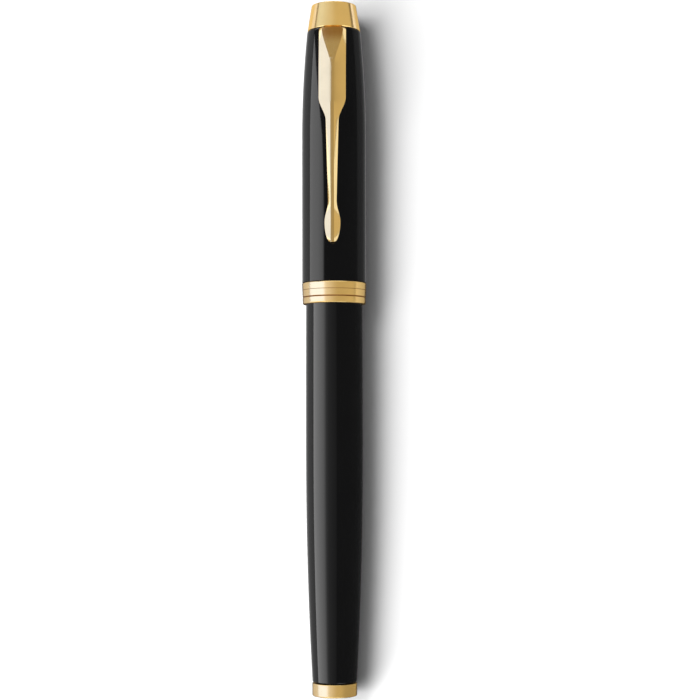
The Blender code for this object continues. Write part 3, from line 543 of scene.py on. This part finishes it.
def clip_face_shade_material(pen):
    """The clip's plating, with a painted shade that deepens towards the root, under the crown."""
    root = pen.ends("clip_arm")[1]
    shader = clip_material("clip_face_painted_shade")
    shader.fade_along(root - CLIP_SHADE_START, root - CLIP_SHADE_FULL, CLIP_ROOT_SHADE_COLOUR)
    return shader.material


def plastic_material(name, colour, roughness, grain, height):
    """Moulded plastic with a fine even grain."""
    shader = Shader(name, colour, 0.0, sum(roughness) / 2)
    lighter = tuple(channel * PLASTIC_LIGHTER for channel in colour)
    shader.vary_colour(shader.noise((300, 300, 300)), colour, lighter)
    texture = shader.noise((grain, grain, grain), 3.0)
    shader.vary_roughness(texture, *roughness)
    shader.bump(texture, height)
    return shader.material


def metal_material(name, colour, roughness, streaks, height):
    """Bare metal with drawn or turned lines."""
    shader = Shader(name, colour, 1.0, sum(roughness) / 2)
    darker = tuple(channel * METAL_DARKER for channel in colour)
    shader.vary_colour(shader.noise((400, 400, 400)), darker, colour)
    lines = shader.noise(streaks, 3.0)
    shader.vary_roughness(lines, *roughness)
    shader.bump(lines, height)
    return shader.material


def fibre_material():
    """Ink-soaked fibre, matte with lengthwise strands."""
    shader = Shader("ink_fibre", (0.02, 0.02, 0.05), 0.0, 0.95)
    strands = shader.noise((6000, 300, 6000), 3.0)
    shader.vary_colour(strands, (0.012, 0.012, 0.035), (0.04, 0.04, 0.09))
    shader.bump(strands, 0.00004)
    return shader.material


def make_materials(pen):
    return {
        "lacquer": lacquer_material(),
        "crown_gold": gold_material("crown_gold", (0.14, 0.22), (5000, 5000, 5000), 0.0000022).material,
        "satin_gold": gold_material("satin_gold", (0.20, 0.28), (900, 900, 900), 0.0000010).material,
        "brushed_gold": gold_material("brushed_gold", (0.17, 0.25), (60, 9000, 60), 0.0000020).material,
        # Darker gold as painted shade in grooves and under the crown.
        "painted_shade_gold": gold_material(
            "painted_shade_gold", (0.3, 0.4), (60, 9000, 60), 0.000002, tone=PAINTED_SHADE_GOLD
        ).material,
        "clip_gold": clip_material("clip_gold").material,
        # The clip's level face, with painted shade towards its root.
        "clip_face_painted_shade": clip_face_shade_material(pen),
        "grip": plastic_material("grip_plastic", (0.010, 0.010, 0.011), (0.28, 0.40), 4000, 0.000004),
        "liner": plastic_material("liner_plastic", (0.020, 0.020, 0.021), (0.45, 0.6), 3000, 0.000006),
        "refill_plastic": plastic_material(
            "refill_plastic", (0.04, 0.04, 0.05), (0.4, 0.5), 3000, 0.000005
        ),
        "brass": metal_material("raw_brass", (0.72, 0.53, 0.22), (0.3, 0.45), (80, 8000, 80), 0.000003),
        "steel": metal_material("turned_steel", (0.62, 0.63, 0.65), (0.18, 0.32), (80, 8000, 80), 0.000002),
        "refill_metal": metal_material(
            "drawn_tube", (0.70, 0.71, 0.73), (0.25, 0.4), (6000, 80, 6000), 0.000002
        ),
        "carbide": metal_material(
            "carbide", (0.42, 0.43, 0.45), (0.1, 0.16), (3000, 3000, 3000), 0.0000005
        ),
        "fibre": fibre_material(),
    }


def barrel_radius(along, back, front):
    """Nearly straight in front, curving in towards the tail."""
    belly_radius = BARREL_FRONT_RADIUS + BARREL_SWELL
    belly = back + BARREL_TAPER_LENGTH
    if along < belly:
        share = (belly - along) / BARREL_TAPER_LENGTH
        return belly_radius - (belly_radius - BARREL_TAIL_RADIUS) * share**2
    return belly_radius - BARREL_SWELL * ((along - belly) / (front - belly)) ** 2


def cap_radius(along, pen):
    """Straight above the band, curving in towards the crown."""
    top = pen.ends("cap_shell")[1]
    share = max(0.0, (along - top + CAP_TAPER_LENGTH) / CAP_TAPER_LENGTH)
    return pen.radius("cap_shell") - CAP_TAPER_DROP * share**2


def make_barrel(pen, materials):
    back, front = pen.ends("barrel_shell")
    stations = spaced(front, back, CURVE_STEPS)
    front_guard, back_guard = front - BARREL_EDGE_GUARD, back + BARREL_EDGE_GUARD
    stations = [front, front_guard, *stations[1:-1], back_guard, back]
    outer = [(barrel_radius(along, back, front), along, 0) for along in stations]
    inner = [(radius - BARREL_WALL, along, 0) for radius, along, _ in reversed(outer)]
    outer[0] = (*outer[0][:2], BARREL_EDGE_ROUND)
    outer[-1] = (*outer[-1][:2], BARREL_EDGE_ROUND)
    shell = turned("barrel", rounded(outer + inner), SHELL_SIDES, materials["lacquer"], pen)
    return stand_in(shell, "barrel", "black_lacquer", "barrel_shell")


def make_tail(pen, materials):
    back, stud_front = pen.ends("tail_cap")
    front = back + TAIL_CAP_LENGTH
    radius = pen.radius("tail_cap")
    corners = [
        (0, stud_front, 0),
        (TAIL_STUD_RADIUS, stud_front, 0),
        (TAIL_STUD_RADIUS, front, 0),
        (radius, front, TAIL_LIP_ROUND),
        (radius, back, TAIL_EDGE_ROUND),
        (0, back, 0),
    ]
    tail = turned("tail_ring", rounded(corners), SHELL_SIDES, materials["satin_gold"], pen)
    return stand_in(tail, "barrel", "gold_plate", "tail_cap")


def make_cap_shell(pen, materials):
    mouth, top = pen.ends("cap_shell")
    rim = top - CAP_RIM_DEPTH
    rim_bore = cap_radius(top, pen) - CAP_RIM_WALL
    taper_start = top - CAP_TAPER_LENGTH
    outer = [(cap_radius(along, pen), along, 0) for along in spaced(top, taper_start, CURVE_STEPS)]
    outer[0] = (*outer[0][:2], CAP_SHOULDER_ROUND)
    outer = [outer[0]] + [corner for corner in outer if corner[1] < top - CAP_SHOULDER_CLEAR]
    inner = [
        (cap_radius(along, pen) - CAP_WALL, along, 0) for along in spaced(taper_start, rim, ROUND_STEPS)
    ]
    radius = pen.radius("cap_shell")
    corners = [
        *outer,
        (radius, mouth, 0),
        (radius - CAP_WALL, mouth, 0),
        *inner,
        (rim_bore, rim, 0),
        (rim_bore, top, 0),
    ]
    shell = turned("cap", rounded(corners), SHELL_SIDES, materials["lacquer"], pen)
    cut_notch(shell, pen, rim_bore, top)
    return stand_in(shell, "cap", "black_lacquer", "cap_shell")


def cut_notch(shell, pen, rim_bore, top):
    """The slot in the cap's rim that the clip's tab leaves through."""
    builder = bmesh.new()
    bmesh.ops.create_cube(builder, size=1.0)
    size = Vector((CLIP_NOTCH_WIDTH, 2 * CLIP_NOTCH_DEPTH, rim_bore))
    bmesh.ops.scale(builder, vec=size, verts=builder.verts)
    bmesh.ops.translate(builder, vec=(0.0, top, pen.axis + rim_bore), verts=builder.verts)
    cutter = finish_mesh("clip_notch", builder, shell.data.materials[0])
    modifier = shell.modifiers.new("clip_notch", "BOOLEAN")
    modifier.operation = "DIFFERENCE"
    modifier.object = cutter
    bpy.context.view_layer.update()
    graph = bpy.context.evaluated_depsgraph_get()
    cut = bpy.data.meshes.new_from_object(shell.evaluated_get(graph))
    shell.modifiers.clear()
    shell.data = cut
    bpy.data.objects.remove(cutter)


def make_band(pen, materials):
    """The brushed ring round the cap's mouth, with two engraved lines and a rounded lower lip."""
    bottom, top = pen.ends("cap_band")
    length = top - bottom
    radius = pen.radius("cap_band")

    def outer(below_top):
        return radius - BAND_TAPER * below_top / length

    inset, drop = BAND_TOP_CHAMFER
    corners = [(outer(0) - inset, top, BAND_TOP_ROUND), (outer(drop), top - drop, BAND_TOP_ROUND)]
    grooves = (
        (BAND_UPPER_GROOVE, BAND_UPPER_GROOVE_WIDTH, BAND_UPPER_GROOVE_DEPTH),
        (BAND_LOWER_GROOVE, BAND_LOWER_GROOVE_WIDTH, BAND_LOWER_GROOVE_DEPTH),
    )
    for place, width, depth in grooves:
        for offset, sink in ((-0.5, 0), (0, depth), (0.5, 0)):
            below = place + offset * width
            corners.append((outer(below) - sink, top - below, 0))
    corners += [
        (outer(length), bottom, BAND_LIP_ROUND),
        (radius - BAND_LIP_WALL, bottom, BAND_LIP_ROUND / 3),
        (radius - BAND_LIP_WALL, bottom + BAND_LEDGE, 0),
        (radius - BAND_UPPER_WALL, bottom + BAND_LEDGE, 0),
        (radius - BAND_UPPER_WALL, top, 0),
    ]
    band = turned("band", rounded(corners), SHELL_SIDES, materials["brushed_gold"], pen)
    # The engraved lines take the darker gold: painted shade in the grooves.
    band.data.materials.append(materials["painted_shade_gold"])
    for face in band.data.polygons:
        away = math.hypot(face.center.x, face.center.z - pen.axis)
        engraved = any(abs(top - place - face.center.y) < width / 2 for place, width, _ in grooves)
        if engraved and away > radius - BAND_UPPER_WALL / 2:
            face.material_index = 1
    stand_in(band, "cap", "gold_plate", "cap_band")


def make_crown(pen, materials):
    """The satin cone on the cap's end, with a softened upper edge and a bright lower lip."""
    spigot, top = pen.ends("cap_crown")
    bottom = top - CROWN_HEIGHT
    radius = pen.radius("cap_crown")
    inset, lift = CROWN_LIP_CHAMFER
    corners = [
        (0, top, 0),
        (radius - CROWN_TAPER, top, CROWN_TOP_ROUND),
        (radius, bottom + lift, CROWN_LIP_ROUND),
        (radius - inset, bottom, CROWN_LIP_ROUND),
        (CROWN_SPIGOT_RADIUS, bottom, 0),
        (CROWN_SPIGOT_RADIUS, spigot, 0),
        (0, spigot, 0),
    ]
    crown = turned("crown", rounded(corners), SHELL_SIDES, materials["crown_gold"], pen)
    return stand_in(crown, "cap", "gold_plate", "cap_crown")


def clip_width(along, length):
    """Blade, shoulder, stem and a rounded foot, by distance from the clip's root."""
    shoulder_end = CLIP_BLADE_LENGTH + CLIP_SHOULDER_LENGTH
    foot_start = length - CLIP_FOOT_LENGTH
    stem_share = min(1.0, max(0.0, along - shoulder_end) / (foot_start - shoulder_end))
    stem = CLIP_STEM_WIDTH + (CLIP_STEM_END_WIDTH - CLIP_STEM_WIDTH) * stem_share
    if along < foot_start:
        width = CLIP_BLADE_WIDTH
        width += (stem - width) * blend((along - CLIP_BLADE_LENGTH) / CLIP_SHOULDER_LENGTH)
        corner = max(0.0, 1 - along / CLIP_CORNER_ROUND)
        return width - 2 * CLIP_CORNER_ROUND * (1 - math.sqrt(1 - corner**2))
    share = (along - foot_start) / CLIP_FOOT_LENGTH
    full = stem + (CLIP_FOOT_WIDTH - stem) * blend(share / CLIP_FOOT_WIDEST)
    closing = max(0.0, (share - CLIP_FOOT_WIDEST) / (1 - CLIP_FOOT_WIDEST))
    return CLIP_FOOT_TIP_WIDTH + (full - CLIP_FOOT_TIP_WIDTH) * math.sqrt(1 - closing**2)


def clip_gap(along, length):
    """The room under the clip: it opens from the root and closes at the foot."""
    foot = length - CLIP_FOOT_LENGTH / 2
    if along < foot:
        opened = CLIP_ROOT_GAP + (CLIP_GAP - CLIP_ROOT_GAP) * blend(along / CLIP_RISE_LENGTH)
        closing = blend((along - foot + CLIP_RISE_LENGTH) / CLIP_RISE_LENGTH)
        return opened + (CLIP_FOOT_GAP - opened) * closing
    return CLIP_FOOT_GAP + (CLIP_TIP_GAP - CLIP_FOOT_GAP) * blend((along - foot) / (length - foot))


def clip_stations(length):
    """Distances from the root, closer together where the width turns."""
    shoulder_end = CLIP_BLADE_LENGTH + CLIP_SHOULDER_LENGTH
    foot_start = length - CLIP_FOOT_LENGTH
    stations = [0.0]
    for end in (CLIP_CORNER_ROUND, CLIP_BLADE_LENGTH, shoulder_end, foot_start):
        stations += spaced(stations[-1], end, CLIP_STRETCH_STEPS)[1:]
    quarters = spaced(0.0, math.pi / 2, 2 * CLIP_STRETCH_STEPS)[1:]
    return stations + [foot_start + CLIP_FOOT_LENGTH * math.sin(quarter) for quarter in quarters]


def make_clip(pen, materials):
    """A sprung strip with a raised spine, sloping sides and softened edges."""
    low, root = pen.ends("clip_arm")
    length = root - low
    builder = bmesh.new()
    loops = []
    for along in clip_stations(length):
        height = root - along
        half = clip_width(along, length) / 2
        face = 1 - blend(along / CLIP_FACE_LENGTH)
        widest = half * CLIP_FACE_SHARE
        narrow = CLIP_SPINE_WIDTH / 2
        spine = min(widest, narrow + (widest - narrow) * face)
        under = cap_radius(height, pen) + clip_gap(along, length)
        edge, top = under + CLIP_EDGE_THICKNESS, under + CLIP_THICKNESS
        section = ((-half, under), (half, under), (half, edge), (spine, top), (-spine, top), (-half, edge))
        loops.append([builder.verts.new((x, height, up)) for x, up in section])
    skin(builder, loops)
    bmesh.ops.recalc_face_normals(builder, faces=builder.faces)
    sharp = [edge for edge in builder.edges if edge.calc_face_angle(0.0) > CLIP_BEVEL_ANGLE]
    bmesh.ops.bevel(
        builder,
        geom=sharp,
        offset=CLIP_EDGE_BEVEL,
        segments=CLIP_BEVEL_STEPS,
        profile=0.5,
        affect="EDGES",
        clamp_overlap=True,
    )
    clip = finish_mesh("clip", builder, materials["clip_gold"], pen)
    clip.data.materials.append(materials["clip_face_painted_shade"])
    # The level face gets the material with the painted shade near the root.
    for face in clip.data.polygons:
        if abs(face.normal.x) < CLIP_FACE_ASIDE and face.normal.z > CLIP_FACE_UP:
            face.material_index = 1
    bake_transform(clip)
    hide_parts("clip_arm")
    return clip


def helical_ridge(builder, start):
    """The section's right-handed thread ridge, fading into the core at both ends."""
    buried = THREAD_CORE - THREAD_BURIED
    loops = []
    for step in range(THREAD_TURNS * THREAD_SIDES + 1):
        turn = step / THREAD_SIDES
        fade = min(1.0, turn / THREAD_FADE_TURNS, (THREAD_TURNS - turn) / THREAD_FADE_TURNS)
        share = THREAD_END_SHARE + (1 - THREAD_END_SHARE) * fade
        crest = buried + (THREAD_CREST - buried) * share
        along = start + THREAD_PITCH * turn
        profile = (
            (buried, -RIDGE_ROOT_WIDTH / 2),
            (crest, -RIDGE_CREST_WIDTH / 2),
            (crest, RIDGE_CREST_WIDTH / 2),
            (buried, RIDGE_ROOT_WIDTH / 2),
        )
        across, up = math.cos(math.tau * turn), -math.sin(math.tau * turn)
        loops.append([builder.verts.new((r * across, along + rise, r * up)) for r, rise in profile])
    skin(builder, loops)


def grip_radius(along, collar_front):
    share = (along - collar_front) / GRIP_LENGTH
    straight = GRIP_REAR_RADIUS + (GRIP_FRONT_RADIUS - GRIP_REAR_RADIUS) * share
    return straight - GRIP_WAIST * math.sin(math.pi * blend(share)) ** 2


def make_section(pen, materials):
    """The grip section: thread, collar, snap bead, waisted grip with fine rings and a spigot."""
    back, spigot_front = pen.ends("grip_section")
    grip_front = spigot_front - NOSE_SPIGOT_LENGTH
    collar_front = grip_front - GRIP_LENGTH
    collar_back = collar_front - COLLAR_LENGTH
    bead_low = collar_front + SNAP_BEAD_OFFSET
    bead_high = bead_low + SNAP_BEAD_WIDTH
    groove_tops = [
        grip_front - GRIP_GROOVE_OFFSET - index * GRIP_GROOVE_SPACING for index in range(GRIP_GROOVES)
    ]
    stations = [(along, 0.0) for along in spaced(grip_front, bead_high, CURVE_STEPS)]
    for top in groove_tops:
        stations = [s for s in stations if not top - GRIP_GROOVE_WIDTH <= s[0] <= top]
        for step in range(ROUND_STEPS + 1):
            share = step / ROUND_STEPS
            sink = GRIP_GROOVE_DEPTH * math.sin(math.pi * share)
            stations.append((top - GRIP_GROOVE_WIDTH * share, sink))
    stations.sort(reverse=True)
    grip = [(grip_radius(along, collar_front) - sink, along, 0) for along, sink in stations]
    bead = []
    for step in range(1, 2 * ROUND_STEPS):
        along = bead_high - SNAP_BEAD_WIDTH * step / (2 * ROUND_STEPS)
        rise = SNAP_BEAD_HEIGHT * math.sin(math.pi * step / (2 * ROUND_STEPS))
        bead.append((grip_radius(along, collar_front) + rise, along, 0))
    seat = grip_front - NOSE_BORE_LENGTH
    corners = [
        (NOSE_SPIGOT_RADIUS, spigot_front, 0),
        (NOSE_SPIGOT_RADIUS, grip_front, 0),
        *grip,
        *bead,
        (grip_radius(bead_low, collar_front), bead_low, 0),
        (GRIP_REAR_RADIUS, collar_front, 0),
        (COLLAR_RADIUS, collar_front, COLLAR_ROUND),
        (COLLAR_RADIUS, collar_back, COLLAR_ROUND),
        (THREAD_CORE, collar_back, 0),
        (THREAD_CORE, back, 0),
        (GRIP_BORE, back, 0),
        (GRIP_BORE, seat, 0),
        (NOSE_BORE, seat, 0),
        (NOSE_BORE, spigot_front, 0),
    ]
    builder = bmesh.new()
    spin(builder, rounded(corners), SMALL_SIDES)
    helical_ridge(builder, back + THREAD_LEAD)
    section = finish_mesh("section", builder, materials["grip"], pen)
    stand_in(section, "section", "grip_plastic", "grip_section")


def make_spring(pen, materials):
    """The wire spring behind the refill, which shortens as the refill is pushed."""
    low, high = pen.ends("refill_spring")
    rise = high - low - 2 * SPRING_WIRE_RADIUS
    builder = bmesh.new()
    loops = []
    for step in range(SPRING_TURNS * SPRING_STEPS + 1):
        turn = step / SPRING_STEPS
        outward = Vector((math.cos(math.tau * turn), 0.0, math.sin(math.tau * turn)))
        along = Vector((0.0, low + SPRING_WIRE_RADIUS + rise * turn / SPRING_TURNS, 0.0))
        ring = []
        for side in range(SPRING_WIRE_SIDES):
            angle = math.tau * side / SPRING_WIRE_SIDES
            reach = SPRING_COIL_RADIUS + SPRING_WIRE_RADIUS * math.cos(angle)
            lift = Vector((0.0, SPRING_WIRE_RADIUS * math.sin(angle), 0.0))
            ring.append(builder.verts.new(outward * reach + along + lift))
        loops.append(ring)
    skin(builder, loops)
    spring = finish_mesh("spring", builder, materials["steel"], pen)
    stand_in(spring, "spring", "steel", "refill_spring")
    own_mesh(spring)


def make_nose_ring(pen, materials):
    back, front = pen.ends("nose_ring")
    radius = pen.radius("nose_ring")
    room = back + NOSE_SPIGOT_LENGTH
    bore = NOSE_SPIGOT_RADIUS + NOSE_CLEARANCE
    corners = [
        (TIP_HOLE + NOSE_RING_LIP, front, NOSE_RING_ROUND),
        (radius, back + NOSE_SPIGOT_LENGTH / 2, NOSE_RING_ROUND),
        (radius, back, NOSE_RING_ROUND / 2),
        (bore, back, 0),
        (bore, room, 0),
        (TIP_HOLE, room, 0),
        (TIP_HOLE, front, 0),
    ]
    ring = turned("front_ring", rounded(corners), SMALL_SIDES, materials["satin_gold"], pen)
    stand_in(ring, "section", "gold_plate", "nose_ring")


def make_tip(pen, materials):
    """The metal point, stepped and coned down to the rim that holds the ball."""
    back, front = pen.ends("tip_socket")
    shoulder = front - TIP_CONE_LENGTH
    corners = [
        (TIP_RIM_RADIUS, front, TIP_RIM_ROUND),
        (TIP_RADIUS, shoulder, TIP_SHOULDER_ROUND),
        (TIP_RADIUS, back, 0),
        (TIP_BORE, back, 0),
        (TIP_BORE, shoulder, 0),
        (TIP_SOCKET_RADIUS, shoulder, 0),
        (TIP_SOCKET_RADIUS, front, 0),
    ]
    tip = turned("point", rounded(corners), SMALL_SIDES, materials["steel"], pen)
    stand_in(tip, "refill", "steel", "tip_socket")


def make_ball(pen, materials):
    """The writing ball, an evenly divided sphere."""
    low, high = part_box("writing_ball")
    builder = bmesh.new()
    radius = (high.y - low.y) / 2
    bmesh.ops.create_icosphere(builder, subdivisions=BALL_SUBDIVISIONS, radius=radius)
    bmesh.ops.translate(builder, vec=(low + high) / 2, verts=builder.verts)
    ball = finish_mesh("ball", builder, materials["carbide"])
    stand_in(ball, "ball", "carbide", "writing_ball")


def dress_inner_nodes(frame, materials):
    """Finishes of the CAD nodes that are shown as they are."""
    finishes = {
        "cap_liner": "liner",
        "crown_screw": "steel",
        # The clip ring takes the darker gold: painted shade under the crown.
        "clip_ring": "painted_shade_gold",
        "refill_tube": "refill_metal",
        "refill_end_plug": "refill_plastic",
        "ink_reservoir": "fibre",
        "tip_holder": "refill_plastic",
        "feed_wick": "fibre",
        "thread_insert": "brass",
        "tail_plug": "liner",
    }
    for node, finish in finishes.items():
        slots = frame["nodes"][node].data.materials
        slots.clear()
        slots.append(materials[finish])


def resting_slope(pen):
    """How far the surface under the pen falls per metre along it, touching the band and the barrel."""
    back, front = pen.ends("barrel_shell")
    band_top = pen.ends("cap_band")[1]
    band_radius = pen.radius("cap_band")
    return min(
        (band_radius - barrel_radius(along, back, front)) / (band_top - along)
        for along in spaced(back, front, CURVE_STEPS)
    )


def make_floor(pen):
    """A plain white surface, tilted to lie under the resting pen."""
    band_top = pen.ends("cap_band")[1]
    builder = bmesh.new()
    bmesh.ops.create_grid(builder, x_segments=2, y_segments=2, size=FLOOR_HALF)
    shader = Shader("floor", STAGE_COLOUR, 0.0, STAGE_ROUGHNESS)
    shader.set("Specular IOR Level", 0.0)
    shader.glow_beyond(*FLOOR_GLOW)
    floor = finish_mesh("floor", builder, shader.material)
    slope = math.atan(resting_slope(pen))
    floor.matrix_world = Matrix.Translation((0.0, band_top, 0.0)) @ Matrix.Rotation(-slope, 4, "X")
    floor.visible_glossy = False
    floor.visible_shadow = False
    return floor


def make_backdrop():
    """A white wall far round the pen, seen by low cameras only. It lights and reflects nothing."""
    builder = bmesh.new()
    bmesh.ops.create_cone(
        builder,
        segments=BACKDROP_SIDES,
        radius1=BACKDROP_RADIUS,
        radius2=BACKDROP_RADIUS,
        depth=BACKDROP_HEIGHT,
    )
    shader = Shader("backdrop", STAGE_COLOUR, 0.0, STAGE_ROUGHNESS)
    shader.set("Specular IOR Level", 0.0)
    shader.glow_beyond(0.0, BACKDROP_RADIUS)
    wall = finish_mesh("backdrop", builder, shader.material)
    wall.location.z = BACKDROP_MIDDLE
    wall.visible_diffuse = False
    wall.visible_glossy = False
    wall.visible_transmission = False
    wall.visible_shadow = False
    return wall


def make_camera(pen):
    """Straight above the pen, turned a little round its axis, with the lens shifted to the crop."""
    aside, up = math.sin(CAMERA_TURN), math.cos(CAMERA_TURN)
    backward = Vector((aside, 0.0, up))
    foot = Vector((0.0, pen.tail + CAMERA_FOOT, pen.axis))
    camera = bpy.data.cameras.new("camera")
    camera.sensor_width = SENSOR_WIDTH_MM
    camera.lens = SENSOR_WIDTH_MM * CAMERA_DISTANCE * PIXELS_PER_METRE / PHOTO_SIZE
    camera.shift_x = 0.5 - FOOT_ACROSS_PIXELS / PHOTO_SIZE
    camera.shift_y = FOOT_DOWN_PIXELS / PHOTO_SIZE - 0.5
    camera.clip_start = CAMERA_CLIP_START
    holder = bpy.data.objects.new("camera", camera)
    bpy.context.scene.collection.objects.link(holder)
    turn = Matrix.Rotation(CAMERA_TURN, 4, "Y") @ Matrix.Rotation(CAMERA_ROLL, 4, "Z")
    holder.matrix_world = Matrix.Translation(foot + backward * CAMERA_DISTANCE) @ turn
    bpy.context.scene.camera = holder


def panel(name, outward, along, size, radiance, tint, place):
    """A rectangular light facing back along outward, its length along the given direction."""
    lamp = bpy.data.lights.new(name, "AREA")
    lamp.shape = "RECTANGLE"
    lamp.size, lamp.size_y = size
    lamp.color = tint
    lamp.energy = POWER_PER_RADIANCE * size[0] * size[1] * radiance
    holder = bpy.data.objects.new(name, lamp)
    bpy.context.scene.collection.objects.link(holder)
    across = outward.cross(along)
    holder.matrix_world = Matrix((
        (along.x, across.x, outward.x, place.x),
        (along.y, across.y, outward.y, place.y),
        (along.z, across.z, outward.z, place.z),
        (0, 0, 0, 1),
    ))
    return holder


def feather(lamp, bearings, stops):
    """Grades a softbox's brightness over its bearings. The stops are shares of the brightest one."""
    middle = sum(bearings) / 2
    reach = math.tan(math.radians(bearings[1] - middle))

    def position(bearing):
        return 0.5 + math.tan(math.radians(bearing - middle)) / reach / 2

    lamp.use_nodes = True
    tree = lamp.node_tree
    place = tree.nodes.new("ShaderNodeNewGeometry")
    split = tree.nodes.new("ShaderNodeSeparateXYZ")
    ramp = tree.nodes.new("ShaderNodeValToRGB")
    elements = ramp.color_ramp.elements
    for bearing, _ in stops[1:-1]:
        elements.new(position(bearing))
    for element, (bearing, share) in zip(elements, stops):
        element.position = position(bearing)
        element.color = (share, share, share, 1.0)
    tree.links.new(place.outputs["Parametric"], split.inputs["Vector"])
    tree.links.new(split.outputs["Y"], ramp.inputs["Fac"])
    tree.links.new(ramp.outputs["Color"], tree.nodes["Emission"].inputs["Strength"])


def softbox(
    name, stops, pen, tint=WHITE, end=BOX_LENGTH / 2, length=BOX_LENGTH, slant=0.0, turn_at=0.0
):
    """A long light beside the pen, facing its axis, with its far end at the given place along Y.

    A slant turns it about its outward direction at turn_at, so that its bearing grows towards the tail.
    """
    bearings = (stops[0][0], stops[-1][0])
    peak = max(radiance for _, radiance in stops)
    middle = math.radians(sum(bearings) / 2)
    width = 2 * BOX_DISTANCE * math.tan(math.radians(bearings[1] - bearings[0]) / 2)
    outward = Vector((-math.sin(middle), 0.0, math.cos(middle)))
    across = outward.cross(Vector((0.0, 1.0, 0.0)))
    along = Vector((0.0, math.cos(slant), 0.0)) - across * math.sin(slant)
    pivot = outward * BOX_DISTANCE + Vector((0.0, turn_at, pen.axis))
    place = pivot + along * (end - length / 2 - turn_at)
    light = panel(name, outward, along, (length, width), peak, tint, place)
    feather(light.data, bearings, [(bearing, radiance / peak) for bearing, radiance in stops])
    return light


def end_panels(pen, radiance, tint):
    """Two lights beyond the pen's ends, for the edges of its rings."""
    lights = []
    for name, side in (("crown_end", 1), ("tail_end", -1)):
        outward = Vector((0.0, side * math.cos(END_ELEVATION), math.sin(END_ELEVATION)))
        place = outward * BOX_DISTANCE + Vector((0.0, 0.0, pen.axis))
        size = (END_SIZE, END_SIZE)
        lights.append(panel(name, outward, Vector((side, 0.0, 0.0)), size, radiance, tint, place))
    return lights


def lip_panels(pen):
    """Lights over the tail, round the axis, that brighten the crown's lower lip."""
    lights = []
    for bearing in LIP_BEARINGS:
        aside, up = math.sin(math.radians(bearing)), math.cos(math.radians(bearing))
        outward = Vector((-aside * math.cos(LIP_TILT), -math.sin(LIP_TILT), up * math.cos(LIP_TILT)))
        place = outward * BOX_DISTANCE + Vector((0.0, 0.0, pen.axis))
        size = (LIP_SIZE, LIP_SIZE)
        along = Vector((up, 0.0, aside))
        lights.append(panel("crown_lip", outward, along, size, LIP_RADIANCE, END_TINT, place))
    return lights


def shine_on(light, receivers):
    """Keeps a light to the given pieces. All of them still cast its shadow."""
    group = bpy.data.collections.new(light.name + "_receivers")
    for receiver in receivers:
        group.objects.link(receiver)
    light.light_linking.receiver_collection = group


def light_groups(pieces, floor, wall, materials):
    """The pieces that share their softboxes, by group."""
    stage = (floor, wall)
    meshes = [thing for thing in bpy.context.scene.objects if thing.type == "MESH"]
    shown = [thing for thing in meshes if thing not in stage]
    groups = {name: [piece] for name, piece in pieces.items()}
    groups["floor"] = [floor]
    golds = (materials["satin_gold"], materials["brushed_gold"])
    rest = [thing for thing in shown if thing not in pieces.values()]
    groups["ring"] = [thing for thing in rest if thing.data.materials[0] in golds]
    groups["plain"] = [thing for thing in rest if thing not in groups["ring"]]
    return groups


def make_light(pen, groups):
    """Soft light from the left. The floor, the lacquer and the trim each have softboxes of their own."""
    cap_place = (CAP_BOX_END, BOX_LENGTH, CAP_BOX_SLANT, CAP_BOX_END)
    floor_place = (FLOOR_BOX_END, FLOOR_BOX_LENGTH, FLOOR_SLANT, FLOOR_TURN_AT)
    shine_on(softbox("cap_left", CAP_STOPS, pen, WHITE, *cap_place), groups["cap"])
    for name, receivers, tint, stops in SOFTBOXES:
        lit = [piece for group in receivers for piece in groups[group]]
        place = floor_place if "floor" in receivers else ()
        shine_on(softbox(name, stops, pen, tint, *place), lit)
    for name, group, (start, end), stops in PALE_BOXES:
        faint = [(bearing, radiance * PALE_BEYOND) for bearing, radiance in stops]
        reach = BOX_LENGTH / 2
        shine_on(softbox(name, stops, pen, PALE, end, length=end - start), groups[group])
        shine_on(softbox(name + "_front", faint, pen, end=reach, length=reach - end), groups[group])
        shine_on(softbox(name + "_back", faint, pen, end=start, length=reach + start), groups[group])
    for name, group, stops, start, end in SIDE_BOXES:
        shine_on(softbox(name, stops, pen, end=end, length=end - start), groups[group])
    for light in lip_panels(pen):
        shine_on(light, groups["crown"])
    for light in end_panels(pen, END_RADIANCE, END_TINT):
        shine_on(light, sum((groups[name] for name in TRIM), []))
    for light in end_panels(pen, PLAIN_END_RADIANCE, WHITE):
        shine_on(light, groups["plain"])


def make_world():
    """Faint even light from all round. Caustics are left out."""
    world = bpy.data.worlds.new("studio")
    world.use_nodes = True
    background = world.node_tree.nodes["Background"]
    background.inputs["Color"].default_value = (1.0, 1.0, 1.0, 1.0)
    background.inputs["Strength"].default_value = WORLD_RADIANCE
    bpy.context.scene.world = world
    bpy.context.scene.cycles.caustics_reflective = False


def main():
    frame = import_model()
    pen = Pen()
    materials = make_materials(pen)
    pieces = {
        "barrel": make_barrel(pen, materials),
        "cap": make_cap_shell(pen, materials),
        "crown": make_crown(pen, materials),
        "clip": make_clip(pen, materials),
        "tail": make_tail(pen, materials),
    }
    make_band(pen, materials)
    make_section(pen, materials)
    make_nose_ring(pen, materials)
    make_tip(pen, materials)
    make_ball(pen, materials)
    make_spring(pen, materials)
    dress_inner_nodes(frame, materials)
    floor = make_floor(pen)
    wall = make_backdrop()
    make_camera(pen)
    make_light(pen, light_groups(pieces, floor, wall, materials))
    make_world()
    bpy.context.scene.view_settings.view_transform = "Standard"


main()
